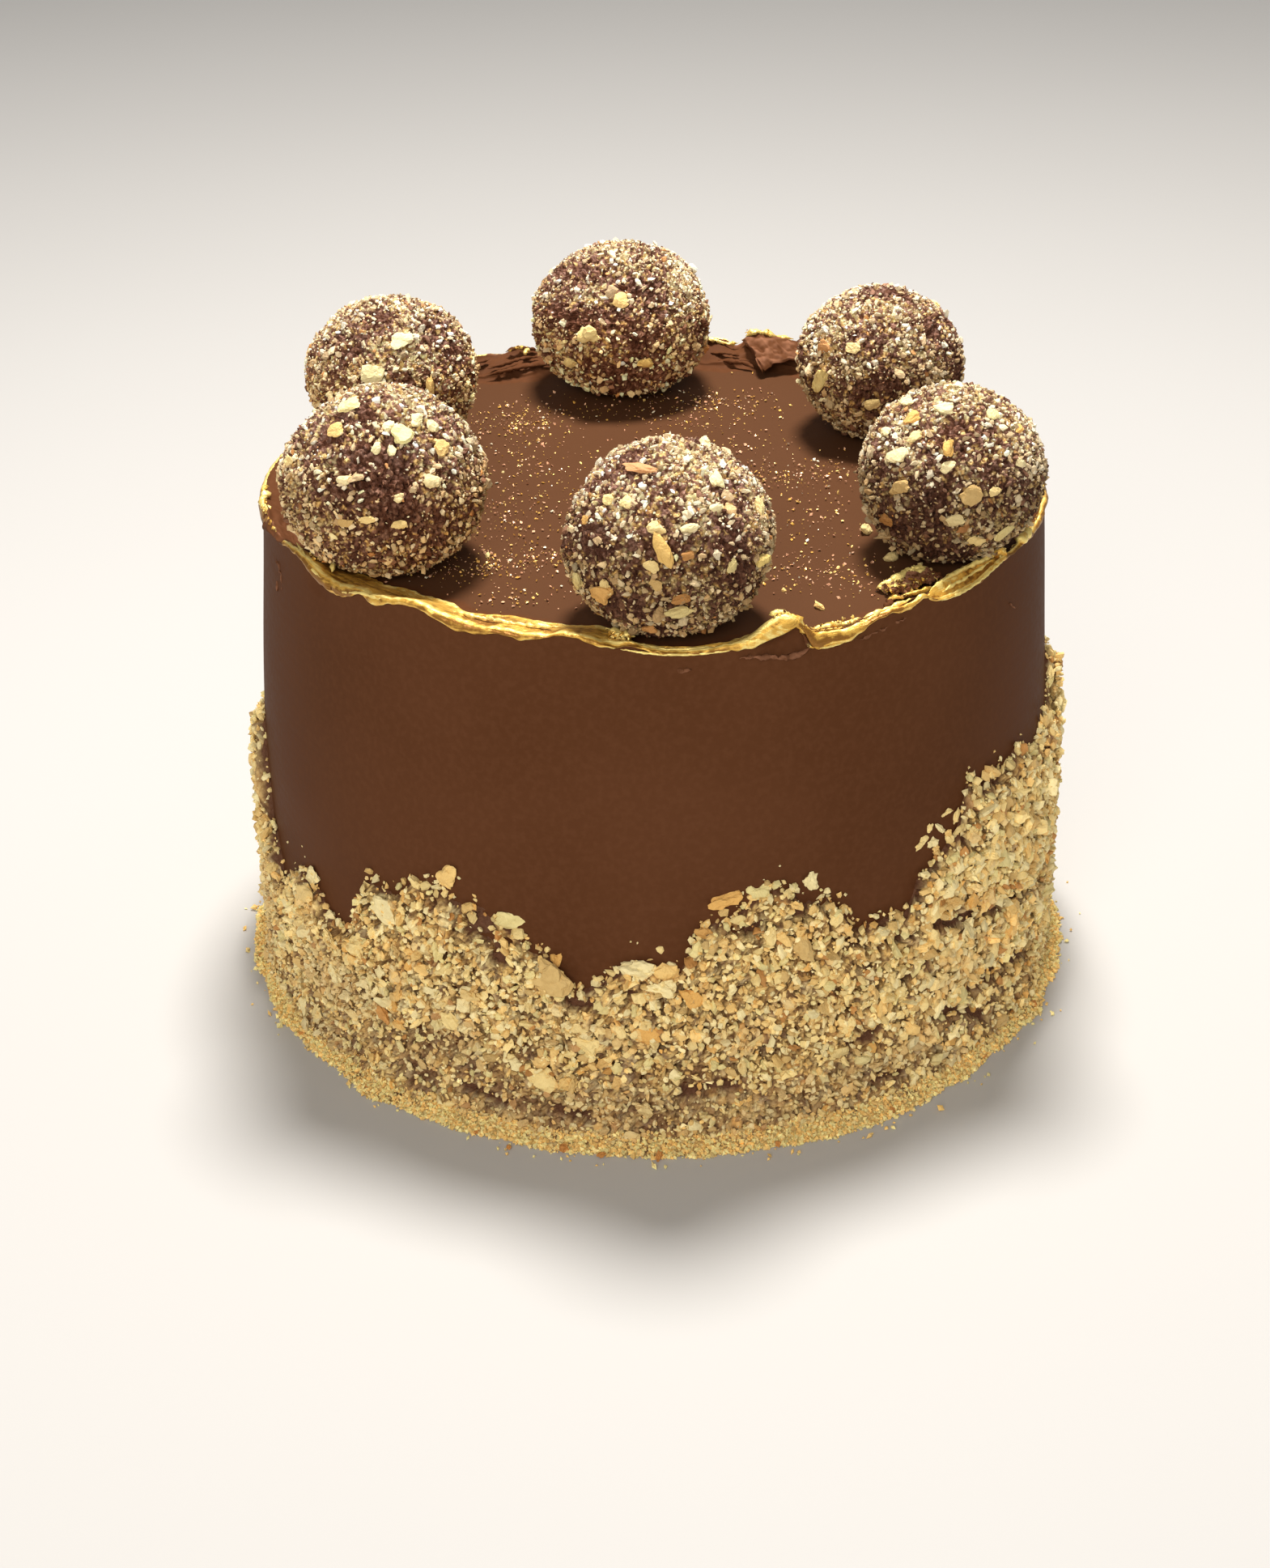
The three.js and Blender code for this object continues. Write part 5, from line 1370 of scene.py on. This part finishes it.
def truffle_surface(spec, directions):
    """Points of a truffle's skin in directions from its middle, with its lumps and flat foot."""
    depth = np.where(directions[:, 2] < 0, spec["height"] * TRUFFLE_FOOT / TRUFFLE_FULLNESS, spec["height"])
    crown = spec["width"] * (1 - spec["point"] * np.maximum(directions[:, 2], 0))
    form = directions * np.stack((crown, crown, depth), axis=1)
    lump = wobble(directions * 10 + spec["angle"], 6) + 0.5 * wobble(directions * 10 - spec["angle"], 3)
    form = form * (1 + 2.4 * TRUFFLE_LUMP * lump)[:, None]
    form[:, 2] = np.maximum(form[:, 2], -TRUFFLE_FOOT * spec["height"])
    return form + on_circle(spec["angle"], spec["out"], TOP_Z + TRUFFLE_GAP + TRUFFLE_FOOT * spec["height"])


def truffle_normals(spec, directions):
    return unit(directions / np.array((spec["width"], spec["width"], spec["height"])))


def thickness_on(spec, directions):
    """How thick the crumbs lie on a truffle, above or below 0."""
    return wobble(directions * THICK_GRAIN + spec["angle"], THICK_SIZE, THICK_SHIFT)


def truffle_light_tint(spec, up):
    """What the colours of a truffle are multiplied by where its skin faces up by `up`: a painted highlight on the
    crown and a painted shade on the lower side.
    """
    return blend(CROWN_HIGHLIGHT_TINT, LOWER_SHADE_TINT * spec["coat"], smooth((0.75 - up) / 0.9))


def truffle_core(spec, material):
    """The ball of dark cream packed with meal, in place of the solid one."""
    directions, faces = TRUFFLE_BALL
    points = truffle_surface(spec, directions)
    relief, gap, _ = crumb_relief(points, TRUFFLE_CRUMB, spec["angle"])
    fine, fine_gap, own = crumb_relief(points, TRUFFLE_MEAL, spec["out"])
    above = smooth((directions[:, 2] + 0.85) / 0.1)
    lift = 0.75 * TRUFFLE_CRUMB * relief + 0.6 * TRUFFLE_MEAL * fine - TRUFFLE_INSET
    points = points + directions * (lift * above)[:, None]
    crown = smooth((directions[:, 2] - 0.1) / 0.6)
    number = np.clip(own[:, 1] + 0.9 * thickness_on(spec, directions) + CORE_PALER * crown, 0, 1)
    shade = from_palette(CORE_PALETTE, CORE_WEIGHTS, number) * (0.8 + 0.35 * own[:, 2:3])
    # painted shade in the crevices between the crumbs, half as deep at the crown where the light falls, over the
    # dark cream that shows there
    crevice = 1 - smooth(np.minimum(gap, fine_gap) / 0.14)
    shade = blend(shade, TRUFFLE_DARK, (0.75 * (1 - 0.5 * crown) * crevice)[:, None])
    # painted highlight on the crown and painted shade on the lower side
    shade = np.minimum(shade * truffle_light_tint(spec, directions[:, 2:]), BRIGHTEST)
    core = shaded_piece(spec["name"] + "_core", points, faces.tolist(), shade, material)
    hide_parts(spec["name"])


def truffle_crumbs(material, name, template, seed, tried, half_size, weights, clumping, form):
    """Crumbs of one kind on all truffles, denser in some places than in others."""
    rng = np.random.default_rng(seed)
    rows = []
    for spec in TRUFFLES:
        directions = unit(rng.normal(size=(int(tried * SPARE), 3)))
        chance = np.clip(MEAN_SHARE + 2 * clumping * thickness_on(spec, directions), LEAST_SHARE, 1)
        directions = directions[(rng.random(len(directions)) < chance) & (directions[:, 2] > BARE_BELOW)]
        sizes = blend(*half_size, rng.random(len(directions)) ** 2)
        sizes = sizes * blend(1.12, 0.92, smooth((directions[:, 2] + 0.7) / 0.8))
        normals = truffle_normals(spec, directions)
        places = truffle_surface(spec, directions) + normals * (SUNK * sizes)[:, None]
        rows.append((places, normals, sizes, truffle_light_tint(spec, normals[:, 2:])))
    places, normals, sizes, light_tints = map(np.concatenate, zip(*rows))

    # the crumbs take the painted crown highlight and lower shade
    def tint(shades):
        return np.minimum(shades * light_tints, BRIGHTEST)

    return crumbs(name, template, material, rng, places, normals, sizes, TRUFFLE_PALETTE, weights, 0.2, tint,
                  TOP_Z + TOP_GAP, "nut_rolled", **form)


def placed_on_truffles(material):
    rows = []
    for which, azimuth, elevation, length, *_, shade in PLACED_ON_TRUFFLES:
        spec = TRUFFLES[which]
        direction = on_circle(azimuth, math.cos(math.radians(elevation)), math.sin(math.radians(elevation)))[None]
        normal = truffle_normals(spec, direction)
        place = truffle_surface(spec, direction) + normal * PLACED_RISE * length
        # part of the painted crown highlight and lower shade
        tint = blend(1, truffle_light_tint(spec, normal[:, 2:]), PLACED_LIGHT_TINT)
        rows.append((place, normal, np.minimum(shade * tint, BRIGHTEST)))
    places, normals, shades = map(np.concatenate, zip(*rows))
    sizes = [np.array(column) for column in list(zip(*PLACED_ON_TRUFFLES))[3:7]]
    return placed_pieces("truffle_placed", material, "nut_rolled", TRUFFLE_PLACED_SEED, places, normals, *sizes,
                         shades, TRUFFLE_PLACED_FORM)


# ---------------------------------------------------------------- dust and strays on the top
# Where the dust lies thickest: middle and reach across and back, in millimetres, and share of the flakes.
DUST_PATCHES = (
    ((-29, 37), (9, 8), 0.14), ((-28, 14), (9, 12), 0.10), ((-18, 0), (14, 12), 0.09),
    ((-30, -16), (8, 10), 0.08), ((-23, -36), (8, 4), 0.08), ((-34, -40), (6, 5), 0.04),
    ((13, 48), (10, 5), 0.10), ((10, 36), (10, 6), 0.07), ((25, 3), (9, 5), 0.10), ((36, 7), (6, 6), 0.05),
    ((27, -41), (12, 6), 0.09), ((32, -18), (9, 10), 0.06), ((18, 19), (9, 9), 0.05), ((35, -49), (8, 5), 0.04),
    ((-8, 46), (10, 6), 0.04), ((0, 0), (38, 38), 0.11), ((-16, -46), (10, 7), 0.05), ((-37, -42), (8, 4), 0.04),
    ((-27, -55), (8, 4), 0.03),
)
DUST_SEED, DUST_COUNT = 91, 2700
DUST_SIZES, DUST_RISE = (0.16, 0.54), 0.32  # half lengths, and height over the top
DUST_MARGIN = 8  # no flake lies nearer to the edge
DUST_PALETTE = (rgb(246, 208, 124), rgb(216, 166, 80), rgb(226, 178, 142), rgb(200, 146, 114), rgb(255, 246, 216))
DUST_WEIGHTS = (3, 4.4, 3, 3.6, 0.9)

# Crumbs that fell from the truffles onto the top: (x, y, half length).
STRAYS = (
    (-32.5, -34.5, 0.9), (41.5, -24.7, 1.7), (45.6, -38.5, 1.7), (47.3, -34.8, 0.8), (45.1, -18.8, 0.7),
    (34.8, -42.1, 0.6), (30.2, -60.0, 1.4), (50.6, -41.0, 0.8), (52.4, -43.4, 0.6), (48.6, -43.6, 0.5),
    (-17, -42, 0.5), (12, 34, 0.4), (-38, -14, 0.5), (-31, 8, 0.4), (24, -52, 0.6), (-24, 26, 0.5), (2, -28, 0.4),
)
STRAY_SEED, STRAY_RISE = 93, 0.45


def gold_dust(material):
    """Flakes of gold dust scattered over the top."""
    rng = np.random.default_rng(DUST_SEED)
    middle, reach, shares = map(np.array, zip(*DUST_PATCHES))
    chosen = rng.choice(len(DUST_PATCHES), DUST_COUNT, p=shares / shares.sum())
    flat = middle[chosen] + reach[chosen] * rng.normal(size=(DUST_COUNT, 2)) * 0.8
    flat = flat[np.hypot(flat[:, 0], flat[:, 1]) < TOP_RADIUS - DUST_MARGIN]
    places = np.column_stack((flat, np.full(len(flat), TOP_Z + DUST_RISE)))
    sizes = blend(*DUST_SIZES, rng.random(len(flat)) ** 2.8)
    return crumbs("gold_flakes", GRAIN, material, rng, places, upright(len(flat)), sizes, DUST_PALETTE,
                  DUST_WEIGHTS, 0.25, flatness=0.4, cuts=2, tilt=0.5)


def stray_crumbs(material):
    rng = np.random.default_rng(STRAY_SEED)
    x, y, sizes = np.array(STRAYS).T
    places = np.column_stack((x, y, TOP_Z + STRAY_RISE * sizes))
    return crumbs("stray_crumbs", CHUNK, material, rng, places, upright(len(sizes)), sizes, (NUT_CREAM, NUT_TAN),
                  (1, 2), flatness=0.7)


# ---------------------------------------------------------------- the studio
FRAME_WIDTH, FRAME_HEIGHT = 1569, 1937
FOCAL_PIXELS = 3500.0
CAMERA_PLACE = (-4.43, -537.66, 324.77)
CAMERA_PITCH, CAMERA_ROLL = 28.45, -0.63
SENSOR = 36.0
CLIP_NEAR, CLIP_FAR = 0.01, 20
WORLD_COLOUR, WORLD_STRENGTH = (1.0, 0.98, 0.95, 1), 0.28
FLOOR_HALF = 4.0  # metres
# The lights: name, place and target in metres, size, power and colour.
LIGHTS = (
    ("overhead", (0.02, 0.20, 0.94), (0, 0, 0.08), 0.22, 14.3, (1.0, 0.96, 0.91)),
    ("front_fill", (-0.25, -1.3, 0.75), (0, 0, 0.06), 0.9, 12.0, (1.0, 0.95, 0.88)),
)


def camera():
    data = bpy.data.cameras.new("camera")
    data.sensor_fit = "AUTO"
    data.sensor_width = SENSOR
    data.lens = SENSOR * FOCAL_PIXELS / max(FRAME_WIDTH, FRAME_HEIGHT)
    data.clip_start, data.clip_end = CLIP_NEAR, CLIP_FAR
    holder = bpy.data.objects.new("camera", data)
    bpy.context.scene.collection.objects.link(holder)
    tilt = Matrix.Rotation(math.radians(90 - CAMERA_PITCH), 4, "X")
    roll = Matrix.Rotation(math.radians(CAMERA_ROLL), 4, "Z")
    holder.matrix_world = Matrix.Translation(Vector(CAMERA_PLACE) * MM) @ tilt @ roll
    bpy.context.scene.camera = holder


def area_light(name, place, target, size, power, colour):
    data = bpy.data.lights.new(name, "AREA")
    data.shape = "DISK"
    data.size = size
    data.energy = power
    data.color = colour
    holder = bpy.data.objects.new(name, data)
    holder.location = place
    holder.rotation_euler = (Vector(target) - Vector(place)).to_track_quat("-Z", "Y").to_euler()
    bpy.context.scene.collection.objects.link(holder)


def studio():
    """A pale floor, a soft world and two soft lights."""
    mesh = bpy.data.meshes.new("floor")
    corners = [(x * FLOOR_HALF, y * FLOOR_HALF, 0) for x, y in ((-1, -1), (1, -1), (1, 1), (-1, 1))]
    mesh.from_pydata(corners, [], [(0, 1, 2, 3)])
    mesh.materials.append(floor_material())
    floor = bpy.data.objects.new("floor", mesh)
    bpy.context.scene.collection.objects.link(floor)

    world = bpy.data.worlds.new("studio")
    world.use_nodes = True
    background = world.node_tree.nodes["Background"]
    background.inputs["Color"].default_value = WORLD_COLOUR
    background.inputs["Strength"].default_value = WORLD_STRENGTH
    bpy.context.scene.world = world
    for light in LIGHTS:
        area_light(*light)
    bpy.context.scene.view_settings.view_transform = "Standard"


# ---------------------------------------------------------------- assembly
camera()
studio()

cream = cream_material()
nuts = nut_material("chopped_nuts")
coat = cream_coat(cream)
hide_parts("cake")
torn_strips(cream)
torn_sheets(cream)
crumbled_gold(cream)
nut_bed(meal_material("nut_meal", 0.9, (0.72, 0.62, 0.5)))
for kind in SIDE_KINDS:
    side_nuts(nuts, *kind)
placed_nuts(nuts)
brown_grains(nuts)
foot_crumbs(nut_material("toasted_crumbs", grain_mm=0.6, roughness=0.75, contrast=0.08))

truffle_cream = meal_material("truffle_meal", 0.7, (0.62, 0.5, 0.4))
for truffle in TRUFFLES:
    truffle_core(truffle, truffle_cream)
for kind in TRUFFLE_KINDS:
    truffle_crumbs(nuts, *kind)
placed_on_truffles(nuts)

gold_dust(flake_material())
stray_crumbs(nuts)
